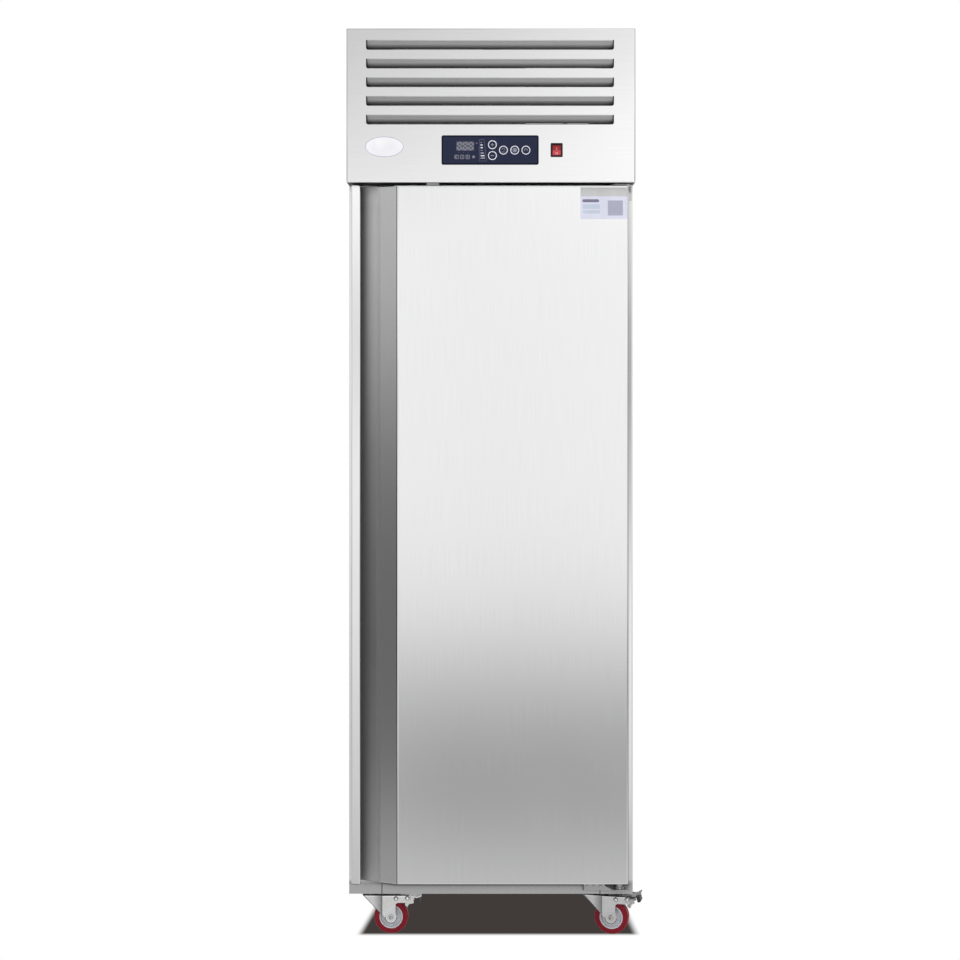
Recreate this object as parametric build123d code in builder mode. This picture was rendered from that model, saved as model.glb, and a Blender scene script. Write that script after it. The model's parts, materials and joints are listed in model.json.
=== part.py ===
from build123d import *
from math import asin, atan2, cos, hypot, pi, radians, sin, sqrt, tan
import os

# Upright reach-in refrigerator on four braked casters, in millimetres.
# +Z is up, +X is to the right seen from the front, and the front faces -Y.
# The origin is on the floor, below the middle of the cabinet.

# Driving sizes of the whole cabinet
width = 620
depth = 700
height = 1980
caster_height = 102
top_unit_height = 330
top_unit_overhang = 72
sheet = 1.2
bend_radius = 1.2

half_width = width / 2
front_y = -depth / 2
back_y = depth / 2
frame_y = front_y + top_unit_overhang
box_bottom = caster_height
box_top = height - top_unit_height
skin_inner = half_width - sheet
frame_back_y = frame_y + sheet
rear_skin_y = back_y - 2 * sheet

# Door opening and storage space
opening_width = 500
opening_bottom = 190
opening_top = 1590
opening_radius = 12
frame_return = 20
liner_back_y = 288

opening_half = opening_width / 2
opening_height = opening_top - opening_bottom
opening_middle = (opening_top + opening_bottom) / 2
liner_front_y = frame_y + frame_return

# Door
door_left = -301
door_right = 296
door_bottom = 138
door_top = 1645
door_front_y = front_y + 16
door_thickness = 48
door_back_y = door_front_y + door_thickness
door_height = door_top - door_bottom
door_middle_x = (door_left + door_right) / 2
door_middle_z = (door_bottom + door_top) / 2
pivot_x = 278
pivot_y = -310
pin_radius = 6
running_gap = 0.05

os.makedirs("parts", exist_ok=True)


def save(part, name):
    """Label one finished piece and write it as its own file."""
    part.label = name
    export_step(part, f"parts/{name}.step")


def turned(point, center, degrees):
    """A point of a side view, turned about a center, anticlockwise."""
    dx = point[0] - center[0]
    dy = point[1] - center[1]
    c = cos(radians(degrees))
    s = sin(radians(degrees))
    return (center[0] + c * dx - s * dy, center[1] + s * dx + c * dy)


# Cabinet side sheets, full height, with the rear edge turned in over the back
side_rear_flange = 22
side_height = height - box_bottom


def side_panel(side, name):
    skin_x = side * (half_width - sheet / 2)
    skin_y = back_y - sheet / 2
    flange_x = side * (half_width - side_rear_flange)
    with BuildPart() as panel:
        with BuildSketch(Plane.XY.offset(box_bottom)):
            with BuildLine():
                FilletPolyline(
                    (skin_x, frame_back_y),
                    (skin_x, skin_y),
                    (flange_x, skin_y),
                    radius=bend_radius,
                )
            trace(line_width=sheet)
        extrude(amount=side_height)
    save(panel.part, name)


side_panel(-1, "left_side_panel")
side_panel(1, "right_side_panel")

# Back sheet of the insulated box, held by the flanges of the side sheets
rear_edge_gap = 2
rear_half = skin_inner - rear_edge_gap
with BuildPart() as rear_panel:
    with BuildSketch(Plane.XY.offset(box_bottom)):
        with Locations((0, rear_skin_y + sheet / 2)):
            Rectangle(2 * rear_half, sheet)
    extrude(amount=box_top - box_bottom)
save(rear_panel.part, "rear_panel")

# Bottom and roof sheets of the insulated box
tray_depth = rear_skin_y - frame_back_y
tray_middle_y = (rear_skin_y + frame_back_y) / 2


def tray(level, name):
    with BuildPart() as plate:
        with BuildSketch(Plane.XY.offset(level)):
            with Locations((0, tray_middle_y)):
                Rectangle(2 * skin_inner, tray_depth)
        extrude(amount=sheet)
    save(plate.part, name)


tray(box_bottom, "base_pan")
tray(box_top, "roof_deck")

# Front frame: one folded ring around the door opening, with joint lines
# where the posts meet the bottom rail
seam_x = 238
seam_width = 0.8
seam_depth = 0.6
seam_top = 170
box_height = box_top - box_bottom
box_middle_z = (box_top + box_bottom) / 2
with BuildPart() as front_frame:
    with BuildSketch(Plane.XZ.offset(-frame_back_y)):
        with Locations((0, box_middle_z)):
            Rectangle(width, box_height)
        with Locations((0, opening_middle)):
            RectangleRounded(opening_width, opening_height, opening_radius, mode=Mode.SUBTRACT)
    extrude(amount=sheet)
    with BuildSketch(Plane.XZ.offset(-liner_front_y)):
        with Locations((0, opening_middle)):
            RectangleRounded(
                opening_width + 2 * sheet,
                opening_height + 2 * sheet,
                opening_radius + sheet,
            )
            RectangleRounded(opening_width, opening_height, opening_radius, mode=Mode.SUBTRACT)
    extrude(amount=liner_front_y - frame_back_y)
    with BuildSketch(Plane.XZ.offset(-frame_y)):
        with Locations((-seam_x, (seam_top + box_bottom) / 2), (seam_x, (seam_top + box_bottom) / 2)):
            Rectangle(seam_width, seam_top - box_bottom)
    extrude(amount=-seam_depth, mode=Mode.SUBTRACT)
save(front_frame.part, "front_frame")

# Inner liner of the storage space, with rounded corners, open at the front
liner_depth = liner_back_y - liner_front_y
with BuildPart() as inner_liner:
    with BuildSketch(Plane.XZ.offset(-liner_back_y - sheet)):
        with Locations((0, opening_middle)):
            RectangleRounded(
                opening_width + 2 * sheet,
                opening_height + 2 * sheet,
                opening_radius + sheet,
            )
    extrude(amount=liner_depth + sheet)
    with BuildSketch(Plane.XZ.offset(-liner_back_y)):
        with Locations((0, opening_middle)):
            RectangleRounded(opening_width, opening_height, opening_radius)
    extrude(amount=liner_depth, mode=Mode.SUBTRACT)
save(inner_liner.part, "inner_liner")

# Foam between the outer sheets and the liner
foam_bottom = box_bottom + sheet
with BuildPart() as insulation_foam:
    with BuildSketch(Plane.XY.offset(foam_bottom)):
        with Locations((0, tray_middle_y)):
            Rectangle(2 * skin_inner, tray_depth)
    extrude(amount=box_top - foam_bottom)
    with BuildSketch(Plane.XZ.offset(-liner_back_y - sheet)):
        with Locations((0, opening_middle)):
            RectangleRounded(
                opening_width + 2 * sheet,
                opening_height + 2 * sheet,
                opening_radius + sheet,
            )
    extrude(amount=liner_back_y + sheet - frame_back_y, mode=Mode.SUBTRACT)
save(insulation_foam.part, "insulation_foam")

# Slotted shelf standards on the side walls of the liner
standard_thickness = 3
standard_width = 20
standard_bottom = 240
standard_top = 1400
standard_front_y = -180
standard_rear_y = 220
slot_pitch = 25
slot_height = 5
slot_length = 11
slot_count = int((standard_top - standard_bottom) / slot_pitch) - 1
standard_height = standard_top - standard_bottom
standard_middle_z = (standard_top + standard_bottom) / 2
standard_spread = standard_rear_y - standard_front_y
standard_middle_y = (standard_rear_y + standard_front_y) / 2
standard_face = opening_half - standard_thickness
with BuildPart() as shelf_standards:
    for start_x in (-opening_half, standard_face):
        with BuildSketch(Plane.YZ.offset(start_x)):
            with Locations((standard_middle_y, standard_middle_z)):
                with GridLocations(standard_spread, 1, 2, 1):
                    Rectangle(standard_width, standard_height)
                with GridLocations(standard_spread, slot_pitch, 2, slot_count):
                    Rectangle(slot_length, slot_height, mode=Mode.SUBTRACT)
        extrude(amount=standard_thickness)
save(shelf_standards.part, "shelf_standards")

# Wire shelves and the clips that carry them
shelf_levels = {"lower": 480, "middle": 830, "upper": 1180}
shelf_side_x = 238
shelf_front_y = -205
shelf_rear_y = 250
shelf_corner = 16
rim_radius = 3
wire_radius = 1.75
brace_radius = 2.5
weld = 0.4
wire_count = 23
brace_count = 3
clip_sheet = 2
clip_width = 14
clip_height = 22
clip_reach = 13


def shelf_clip_group(name):
    with BuildPart() as clips:
        for level in shelf_levels.values():
            lip_z = level - rim_radius - clip_sheet / 2
            for side in (-1, 1):
                wall_x = side * (standard_face - clip_sheet / 2)
                lip_x = side * (standard_face - clip_reach)
                for middle_y in (standard_front_y, standard_rear_y):
                    with BuildSketch(Plane.XZ.offset(-middle_y - clip_width / 2)):
                        with BuildLine():
                            Polyline(
                                (wall_x, lip_z - clip_height / 2),
                                (wall_x, lip_z),
                                (lip_x, lip_z),
                            )
                        trace(line_width=clip_sheet)
                    extrude(amount=clip_width)
    save(clips.part, name)


def wire_shelf(level, name):
    shelf_width = 2 * shelf_side_x
    shelf_depth = shelf_rear_y - shelf_front_y
    middle_y = (shelf_rear_y + shelf_front_y) / 2
    wire_z = level + rim_radius + wire_radius - weld
    brace_z = wire_z - wire_radius - brace_radius + weld
    wire_pitch = (shelf_width - 2 * shelf_corner) / (wire_count - 1)
    brace_pitch = shelf_depth / (brace_count + 1)
    with BuildPart() as shelf:
        with BuildLine(Plane.XY.offset(level)) as rim:
            with BuildSketch(Plane.XY.offset(level), mode=Mode.PRIVATE) as rim_face:
                with Locations((0, middle_y)):
                    RectangleRounded(shelf_width, shelf_depth, shelf_corner)
            add(rim_face.sketch.faces()[0].outer_wire().edges())
        with BuildSketch(Plane(origin=(0, shelf_front_y, level), x_dir=(0, 1, 0), z_dir=(1, 0, 0))):
            Circle(rim_radius)
        sweep(path=rim.wire())
        with BuildSketch(Plane.XZ.offset(-shelf_rear_y)):
            with Locations((0, wire_z)):
                with GridLocations(wire_pitch, 1, wire_count, 1):
                    Circle(wire_radius)
        extrude(amount=shelf_depth)
        with BuildSketch(Plane.YZ.offset(-shelf_side_x)):
            with Locations((middle_y, brace_z)):
                with GridLocations(brace_pitch, 1, brace_count, 1):
                    Circle(brace_radius)
        extrude(amount=shelf_width)
    save(shelf.part, name)


shelf_clip_group("shelf_clips")
for shelf_place, shelf_level in shelf_levels.items():
    wire_shelf(shelf_level, f"wire_shelf_{shelf_place}")


def finned_coil(low, high, pitch, groove, bite, name):
    """A finned block between two end plates, with hairpin bends outside each plate.

    The fins stand across X, and low and high are the corners of the finned block.
    """
    plate = 2
    foot = 3
    tube = 4.5
    rows = 5
    size = [b - a for a, b in zip(low, high)]
    middle = [(a + b) / 2 for a, b in zip(low, high)]
    groove_count = int(size[0] / pitch) - 1
    row_pitch = size[2] / (rows + 1)
    bend = row_pitch / 2
    with BuildPart() as coil:
        with BuildSketch(Plane.XY.offset(low[2])):
            with Locations((middle[0], middle[1])):
                Rectangle(size[0], size[1])
            for face_y in (low[1] + bite / 2, high[1] - bite / 2):
                with Locations((middle[0], face_y)):
                    with GridLocations(pitch, 1, groove_count, 1):
                        Rectangle(groove, bite, mode=Mode.SUBTRACT)
        extrude(amount=size[2])
        for plate_x in (low[0] - plate, high[0]):
            with BuildSketch(Plane.YZ.offset(plate_x)):
                with Locations((middle[1], middle[2])):
                    Rectangle(size[1] + 2 * foot, size[2] + 2 * foot)
            extrude(amount=plate)
        for side, plate_x, shift in ((-1, low[0] - plate, 0), (1, high[0] + plate, 1)):
            for row in range(0, rows - 1, 2):
                bend_z = low[2] + row_pitch * (row + shift + 1) + bend
                bend_plane = Plane(
                    origin=(plate_x, middle[1], bend_z - bend),
                    x_dir=(0, 1, 0),
                    z_dir=(side, 0, 0),
                )
                with BuildSketch(bend_plane):
                    Circle(tube)
                pivot = Axis((plate_x, middle[1], bend_z), (0, -side, 0))
                revolve(axis=pivot, revolution_arc=180)
    save(coil.part, name)


# Solid end of each fan hub, in front of the blind bore for its shaft
hub_nose = 4


def fan_blades(center, radius, hub_radius, hub_length, bore_radius, name):
    """A five-blade fan that turns about Y, with a blind bore for the motor shaft."""
    blade_count = 5
    blade_pitch = 30
    blade_sheet = 1.6
    blade_bite = 3
    root_width = 0.42 * radius
    tip_width = 0.62 * radius
    leading_tip = 0.93 * radius
    trailing_tip = 0.95 * radius
    tip_round = 0.12 * radius
    with BuildPart() as fan:
        with BuildSketch(Plane.XZ.offset(-center[1] - hub_length / 2)):
            with Locations((center[0], center[2])):
                Circle(hub_radius)
        extrude(amount=hub_length)
        with BuildSketch(Plane.XZ.offset(-center[1] - hub_length / 2)):
            with Locations((center[0], center[2])):
                Circle(bore_radius)
        extrude(amount=hub_length - hub_nose, mode=Mode.SUBTRACT)
        for blade in range(blade_count):
            turn = 2 * pi * blade / blade_count
            tilt = radians(blade_pitch)
            normal = (-sin(turn) * sin(tilt), cos(tilt), cos(turn) * sin(tilt))
            root = hub_radius - blade_bite
            blade_plane = Plane(origin=center, x_dir=(cos(turn), 0, sin(turn)), z_dir=normal)
            with BuildSketch(blade_plane):
                with BuildLine():
                    Polyline(
                        (root, -root_width / 2),
                        (root, root_width / 2),
                        (leading_tip, tip_width / 2),
                        (trailing_tip, -tip_width / 2),
                        close=True,
                    )
                make_face()
                fillet(vertices().group_by(Axis.X)[-1] + vertices().group_by(Axis.X)[-2], tip_round)
            extrude(amount=blade_sheet / 2, both=True)
    save(fan.part, name)


# Evaporator unit under the ceiling of the storage space
evap_half = 215
evap_front_y = 70
evap_bottom = 1425
evap_fan_z = 1508
evap_fan_radius = 76
evap_sheet = 1.5
guard_rings = 4
guard_first = 20
guard_gap = 12
guard_bar = 4
guard_spoke = 7
outlet_x = 155
outlet_length = 84
outlet_height = 6
outlet_pitch = 13
outlet_count = 9
with BuildPart() as evaporator_cover:
    with BuildSketch(Plane.XZ.offset(-liner_back_y)):
        with Locations((0, (evap_bottom + opening_top) / 2)):
            Rectangle(2 * evap_half, opening_top - evap_bottom)
    extrude(amount=liner_back_y - evap_front_y)
    with BuildSketch(Plane.XZ.offset(-liner_back_y)):
        with Locations((0, (evap_bottom + evap_sheet + opening_top) / 2)):
            Rectangle(2 * (evap_half - evap_sheet), opening_top - evap_bottom - evap_sheet)
    extrude(amount=liner_back_y - evap_front_y - evap_sheet, mode=Mode.SUBTRACT)
    with BuildSketch(Plane.XZ.offset(-evap_front_y)):
        with Locations((0, evap_fan_z)):
            for ring in range(guard_rings):
                inner = guard_first + ring * (guard_gap + guard_bar)
                Circle(inner + guard_gap)
                Circle(inner, mode=Mode.SUBTRACT)
            Rectangle(3 * evap_fan_radius, guard_spoke, mode=Mode.SUBTRACT)
            Rectangle(guard_spoke, 3 * evap_fan_radius, mode=Mode.SUBTRACT)
        for outlet_side in (-outlet_x, outlet_x):
            with Locations((outlet_side, evap_fan_z)):
                with GridLocations(1, outlet_pitch, 1, outlet_count):
                    SlotOverall(outlet_length, outlet_height)
    extrude(amount=-evap_sheet, mode=Mode.SUBTRACT)
save(evaporator_cover.part, "evaporator_cover")

evap_coil_low = (-190, 170, 1450)
evap_coil_high = (190, 262, 1570)
finned_coil(evap_coil_low, evap_coil_high, 12, 5, 30, "evaporator_coil")

evap_fan_center = (0, 86, evap_fan_z)
evap_hub_length = 18
evap_hub_radius = 20
evap_shaft_radius = 3
fan_blades(
    evap_fan_center,
    evap_fan_radius,
    evap_hub_radius,
    evap_hub_length,
    evap_shaft_radius + running_gap,
    "evaporator_fan_blades",
)


def fan_motor(
    center, shaft_radius, hub_length, body_radius, body_length, gap, bar_half, bar_height, mount_y
):
    """A motor on a cross bar behind its fan, with two posts that reach forward."""
    bar_sheet = 3
    post_radius = 5
    shaft_end_gap = 1
    shaft_reach = gap + hub_length / 2 - hub_nose - shaft_end_gap
    bar_y = center[1] + gap
    with BuildPart() as motor:
        with BuildSketch(Plane.XZ.offset(-bar_y - bar_sheet)):
            with Locations((center[0], center[2])):
                SlotOverall(2 * bar_half, bar_height)
        extrude(amount=bar_sheet)
        with BuildSketch(Plane.XZ.offset(-bar_y - bar_sheet - body_length)):
            with Locations((center[0], center[2])):
                Circle(body_radius)
        extrude(amount=body_length)
        with BuildSketch(Plane.XZ.offset(-bar_y)):
            with Locations((center[0], center[2])):
                Circle(shaft_radius)
        extrude(amount=shaft_reach)
        with BuildSketch(Plane.XZ.offset(-bar_y)):
            with Locations((center[0], center[2])):
                with GridLocations(2 * bar_half - bar_height, 1, 2, 1):
                    Circle(post_radius)
        extrude(amount=bar_y - mount_y)
    return motor.part


evaporator_fan_motor = fan_motor(
    center=evap_fan_center,
    shaft_radius=evap_shaft_radius,
    hub_length=evap_hub_length,
    body_radius=30,
    body_length=42,
    gap=14,
    bar_half=98,
    bar_height=18,
    mount_y=evap_front_y + evap_sheet,
)
save(evaporator_fan_motor, "evaporator_fan_motor")

# Lamp under the ceiling, behind the door frame
lamp_half = 130
lamp_y = -228
lamp_width = 26
lamp_depth = 12
lamp_round = 7
with BuildPart() as interior_lamp:
    with BuildSketch(Plane.YZ.offset(-lamp_half)):
        with Locations((lamp_y, opening_top - lamp_depth / 2)):
            Rectangle(lamp_width, lamp_depth)
        fillet(vertices().group_by(Axis.Y)[0].sort_by(Axis.Z)[0], lamp_round)
    extrude(amount=2 * lamp_half)
save(interior_lamp.part, "interior_lamp")

# Louvred front panel of the top unit: a shallow box of sheet, open at the back
panel_edge_radius = 2.5
top_unit_middle = box_top + top_unit_height / 2
louvre_x = -2
louvre_half = 266
louvre_height = 20.8
louvre_first_top = 1955.2
louvre_pitch = 40.1
louvre_count = 5
louvre_radius = 4.5
flap_radius = 33
flap_lean = 22
flap_turn = 40
control_x = -1.8
control_z = 1719
control_width = 208.6
control_height = 63.2
neck_width = 196
neck_height = 52
neck_gap = 0.3
switch_x = 141
switch_z = 1719
switch_neck_width = 23
switch_neck_height = 27
louvre_tops = [louvre_first_top - louvre_pitch * i for i in range(louvre_count)]
flap_y = front_y + sheet / 2
flap_center_y = flap_y + flap_radius * cos(radians(flap_lean))
flap_center_rise = flap_radius * sin(radians(flap_lean))
with BuildPart() as top_front_panel:
    with BuildSketch(Plane.XZ.offset(-frame_back_y)):
        with Locations((0, top_unit_middle)):
            Rectangle(width, top_unit_height)
    extrude(amount=frame_back_y - front_y)
    fillet(faces().sort_by(Axis.Y)[0].edges(), panel_edge_radius)
    offset(amount=-sheet, openings=faces().sort_by(Axis.Y)[-1])
    with BuildSketch(Plane.XZ.offset(-front_y)):
        for louvre_top in louvre_tops:
            with Locations((louvre_x, louvre_top - louvre_height / 2)):
                Rectangle(2 * louvre_half, louvre_height)
        fillet(
            [v for i, row in enumerate(vertices().group_by(Axis.Y)) if i % 2 == 0 for v in row],
            louvre_radius,
        )
        with Locations((control_x, control_z)):
            Rectangle(neck_width + 2 * neck_gap, neck_height + 2 * neck_gap)
        with Locations((switch_x, switch_z)):
            Rectangle(switch_neck_width + 2 * neck_gap, switch_neck_height + 2 * neck_gap)
    extrude(amount=-sheet, mode=Mode.SUBTRACT)
    for louvre_top in louvre_tops:
        with BuildSketch(Plane.YZ.offset(louvre_x - louvre_half + louvre_radius / 2)):
            with BuildLine():
                CenterArc(
                    (flap_center_y, louvre_top + sheet / 2 + flap_center_rise),
                    flap_radius,
                    180 + flap_lean,
                    flap_turn,
                )
            trace(line_width=sheet)
        extrude(amount=2 * louvre_half - louvre_radius)
save(top_front_panel.part, "top_front_panel")

# Vented cover over the top and the back of the machine compartment
vent_length = 230
vent_height = 7
vent_pitch = 18
vent_rows = 10
vent_columns = 2
vent_column_pitch = 270
rear_vent_z = 1835
top_vent_y = 120
gland_x = -255
gland_z = 1690
gland_thread = 10
gland_hole = 10.3
cut_depth = 4 * sheet
cover_y = rear_skin_y + sheet / 2
cover_z = height - sheet / 2
with BuildPart() as machine_cover:
    with BuildSketch(Plane.YZ.offset(-rear_half)):
        with BuildLine():
            FilletPolyline(
                (frame_back_y, cover_z),
                (cover_y, cover_z),
                (cover_y, box_top),
                radius=bend_radius,
            )
        trace(line_width=sheet)
    extrude(amount=2 * rear_half)
    with BuildSketch(Plane.XY.offset(height)):
        with Locations((0, tray_middle_y)):
            Rectangle(2 * skin_inner, tray_depth)
    extrude(amount=-sheet)
    with BuildSketch(Plane.XZ.offset(-back_y)):
        with Locations((0, rear_vent_z)):
            with GridLocations(vent_column_pitch, vent_pitch, vent_columns, vent_rows):
                SlotOverall(vent_length, vent_height)
        with Locations((gland_x, gland_z)):
            Circle(gland_hole)
    extrude(amount=cut_depth, mode=Mode.SUBTRACT)
    with BuildSketch(Plane.XY.offset(height)):
        with Locations((0, top_vent_y)):
            with GridLocations(vent_column_pitch, vent_pitch, vent_columns, vent_rows):
                SlotOverall(vent_length, vent_height)
    extrude(amount=-cut_depth, mode=Mode.SUBTRACT)
save(machine_cover.part, "machine_cover")

# Cable gland of the mains lead, through the rear of the cover
gland_bore = 4.5
gland_hex = 13
gland_hex_length = 6
gland_cap = 10
gland_cap_length = 9
gland_cap_round = 3
gland_inside = 9
gland_nut_length = 4
gland_face_y = rear_skin_y + sheet
gland_start_y = rear_skin_y - gland_inside
gland_end_y = gland_face_y + gland_hex_length + gland_cap_length
gland_length = gland_end_y - gland_start_y
with BuildPart() as cable_gland:
    with BuildSketch(Plane.XZ.offset(-gland_face_y)):
        with Locations((gland_x, gland_z)):
            RegularPolygon(gland_hex, 6)
    extrude(amount=-gland_hex_length)
    with BuildSketch(Plane.XZ.offset(-gland_face_y)):
        with Locations((gland_x, gland_z)):
            Circle(gland_cap)
    extrude(amount=-gland_hex_length - gland_cap_length)
    fillet(faces().sort_by(Axis.Y)[-1].edges(), gland_cap_round)
    with BuildSketch(Plane.XZ.offset(-gland_face_y)):
        with Locations((gland_x, gland_z)):
            Circle(gland_thread)
    extrude(amount=gland_face_y - gland_start_y)
    with BuildSketch(Plane.XZ.offset(-rear_skin_y)):
        with Locations((gland_x, gland_z)):
            RegularPolygon(gland_hex, 6)
    extrude(amount=gland_nut_length)
    with BuildSketch(Plane.XZ.offset(-gland_start_y)):
        with Locations((gland_x, gland_z)):
            Circle(gland_bore)
    extrude(amount=-gland_length, mode=Mode.SUBTRACT)
save(cable_gland.part, "cable_gland")

# Condenser behind the louvres, with its fan behind it
deck_top = box_top + sheet
condenser_foot = 3
condenser_low = (-265, -235, deck_top + condenser_foot)
condenser_high = (75, -185, 1925)
finned_coil(condenser_low, condenser_high, 10, 4, 18, "condenser_coil")

condenser_fan_x = (condenser_low[0] + condenser_high[0]) / 2
condenser_fan_z = (condenser_low[2] + condenser_high[2]) / 2
shroud_y = -178
shroud_sheet = 1.5
shroud_ring = 112
shroud_ring_sheet = 2
shroud_ring_depth = 30
condenser_hub_length = 22
condenser_hub_radius = 26
condenser_shaft_radius = 4
condenser_fan_radius = 104
condenser_fan_center = (condenser_fan_x, shroud_y + shroud_ring_depth / 2, condenser_fan_z)
with BuildPart() as condenser_fan_shroud:
    with BuildSketch(Plane.XZ.offset(-shroud_y - shroud_sheet)):
        with Locations((condenser_fan_x, (deck_top + condenser_high[2]) / 2)):
            Rectangle(condenser_high[0] - condenser_low[0], condenser_high[2] - deck_top)
        with Locations((condenser_fan_x, condenser_fan_z)):
            Circle(shroud_ring, mode=Mode.SUBTRACT)
    extrude(amount=shroud_sheet)
    with BuildSketch(Plane.XZ.offset(-shroud_y)):
        with Locations((condenser_fan_x, condenser_fan_z)):
            Circle(shroud_ring + shroud_ring_sheet)
            Circle(shroud_ring, mode=Mode.SUBTRACT)
    extrude(amount=-shroud_ring_depth)
    add(
        fan_motor(
            center=condenser_fan_center,
            shaft_radius=condenser_shaft_radius,
            hub_length=condenser_hub_length,
            body_radius=40,
            body_length=60,
            gap=26,
            bar_half=140,
            bar_height=20,
            mount_y=shroud_y + shroud_sheet,
        )
    )
save(condenser_fan_shroud.part, "condenser_fan_shroud")
fan_blades(
    condenser_fan_center,
    condenser_fan_radius,
    condenser_hub_radius,
    condenser_hub_length,
    condenser_shaft_radius + running_gap,
    "condenser_fan_blades",
)

# Hermetic compressor: a welded shell with a seam rib, on a plate with four feet
compressor_x = 175
compressor_y = 150
compressor_radius = 78
shell_bottom = deck_top + 12
shell_base_radius = 62
shell_side_bottom = shell_bottom + 20
shell_seam = shell_bottom + 66
shell_side_top = shell_bottom + 120
shell_shoulder = (67, shell_side_top + 25)
shell_crown = (39, shell_side_top + 40)
shell_top = shell_side_top + 42
seam_rib = 3
base_length = 220
base_width = 150
base_sheet = 4
base_corner = 12
foot_radius = 11
foot_spacing_x = 190
foot_spacing_y = 120
shell_plane = Plane(origin=(compressor_x, compressor_y, 0), x_dir=(1, 0, 0), z_dir=(0, -1, 0))
with BuildPart() as compressor:
    with BuildSketch(shell_plane):
        with BuildLine():
            Polyline(
                (0, shell_bottom),
                (shell_base_radius, shell_bottom),
                (compressor_radius, shell_side_bottom),
                (compressor_radius, shell_seam),
                (compressor_radius + seam_rib, shell_seam),
                (compressor_radius + seam_rib, shell_seam + seam_rib),
                (compressor_radius, shell_seam + seam_rib),
                (compressor_radius, shell_side_top),
                shell_shoulder,
                shell_crown,
                (0, shell_top),
                close=True,
            )
        make_face()
    revolve(axis=Axis((compressor_x, compressor_y, 0), (0, 0, 1)))
    with BuildSketch(Plane.XY.offset(shell_bottom - base_sheet + 1)):
        with Locations((compressor_x, compressor_y)):
            RectangleRounded(base_length, base_width, base_corner)
    extrude(amount=base_sheet)
    with BuildSketch(Plane.XY.offset(deck_top)):
        with Locations((compressor_x, compressor_y)):
            with GridLocations(foot_spacing_x, foot_spacing_y, 2, 2):
                Circle(foot_radius)
    extrude(amount=shell_bottom - deck_top)
save(compressor.part, "compressor")


# Copper lines between the compressor, the condenser and the roof
line_radius = 3.5
line_bend = 22
drier_radius = 10
drier_length = 80
drier_start_y = -90
drier_round = 4
suction_x = -20
suction_z = deck_top + 60
discharge_z = deck_top + 90
discharge_y = compressor_y - compressor_radius - 50
hot_line_z = 1890
liquid_line_z = 1690
liquid_x = 135
capillary_x = 90
capillary_y = -40
coil_end_x = condenser_high[0] + 2
coil_end_y = (condenser_low[1] + condenser_high[1]) / 2
lines = {
    "discharge": [
        (compressor_x, compressor_y - compressor_radius, discharge_z),
        (compressor_x, discharge_y, discharge_z),
        (compressor_x, discharge_y, hot_line_z),
        (compressor_x, coil_end_y, hot_line_z),
        (coil_end_x, coil_end_y, hot_line_z),
    ],
    "suction": [
        (suction_x, compressor_y, deck_top),
        (suction_x, compressor_y, suction_z),
        (compressor_x - compressor_radius, compressor_y, suction_z),
    ],
    "liquid": [
        (coil_end_x, coil_end_y, liquid_line_z),
        (liquid_x, coil_end_y, liquid_line_z),
        (liquid_x, capillary_y, liquid_line_z),
        (capillary_x, capillary_y, liquid_line_z),
        (capillary_x, capillary_y, deck_top),
    ],
}
with BuildPart() as refrigerant_lines:
    for route in lines.values():
        with BuildLine() as line_path:
            FilletPolyline(*route, radius=line_bend)
        start_plane = Plane(origin=line_path.line @ 0, z_dir=line_path.line % 0)
        with BuildSketch(start_plane):
            Circle(line_radius)
        sweep(path=line_path.wire())
    with BuildSketch(Plane.XZ.offset(-drier_start_y)):
        with Locations((liquid_x, liquid_line_z)):
            Circle(drier_radius)
    extrude(amount=drier_length)
    drier_ends = edges().filter_by(lambda e: e.geom_type == GeomType.CIRCLE and e.radius > drier_radius - 1)
    fillet(drier_ends.filter_by(lambda e: e.radius < drier_radius + 1), drier_round)
save(refrigerant_lines.part, "refrigerant_lines")

# Control panel: a flanged housing through the front sheet, with round key holes
overlay_proud = 1.2
overlay_radius = 4
overlay_wall = 2
overlay_front_wall = 3.2
overlay_back_y = front_y + 14
overlay_front_y = front_y - overlay_proud
key_radius = 9.85
key_gap = 0.3
key_places = {
    "up_key": (3.1, 1730.2),
    "down_key": (3.1, 1707.0),
    "set_key": (26.7, 1718.6),
    "light_key": (51.1, 1718.6),
    "power_key": (75.0, 1718.6),
}
key_proud = 0.5
key_travel = 0.5
key_flange_radius = 10.8
key_flange = 1
key_edge = 0.4
key_stem_radius = 3
key_stem_gap = 0.1
board_y = front_y + 8
with BuildPart() as control_overlay:
    with BuildSketch(Plane.XZ.offset(-front_y)):
        with Locations((control_x, control_z)):
            RectangleRounded(control_width, control_height, overlay_radius)
    extrude(amount=overlay_proud)
    with BuildSketch(Plane.XZ.offset(-overlay_back_y)):
        with Locations((control_x, control_z)):
            Rectangle(neck_width, neck_height)
    extrude(amount=overlay_back_y - front_y)
    with BuildSketch(Plane.XZ.offset(-overlay_back_y)):
        with Locations((control_x, control_z)):
            Rectangle(neck_width - 2 * overlay_wall, neck_height - 2 * overlay_wall)
    extrude(amount=overlay_back_y - overlay_front_y - overlay_front_wall, mode=Mode.SUBTRACT)
    with BuildSketch(Plane.XZ.offset(-overlay_front_y)):
        for key_x, key_z in key_places.values():
            with Locations((key_x, key_z)):
                Circle(key_radius + key_gap)
    extrude(amount=-overlay_front_wall, mode=Mode.SUBTRACT)
save(control_overlay.part, "control_overlay")

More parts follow.
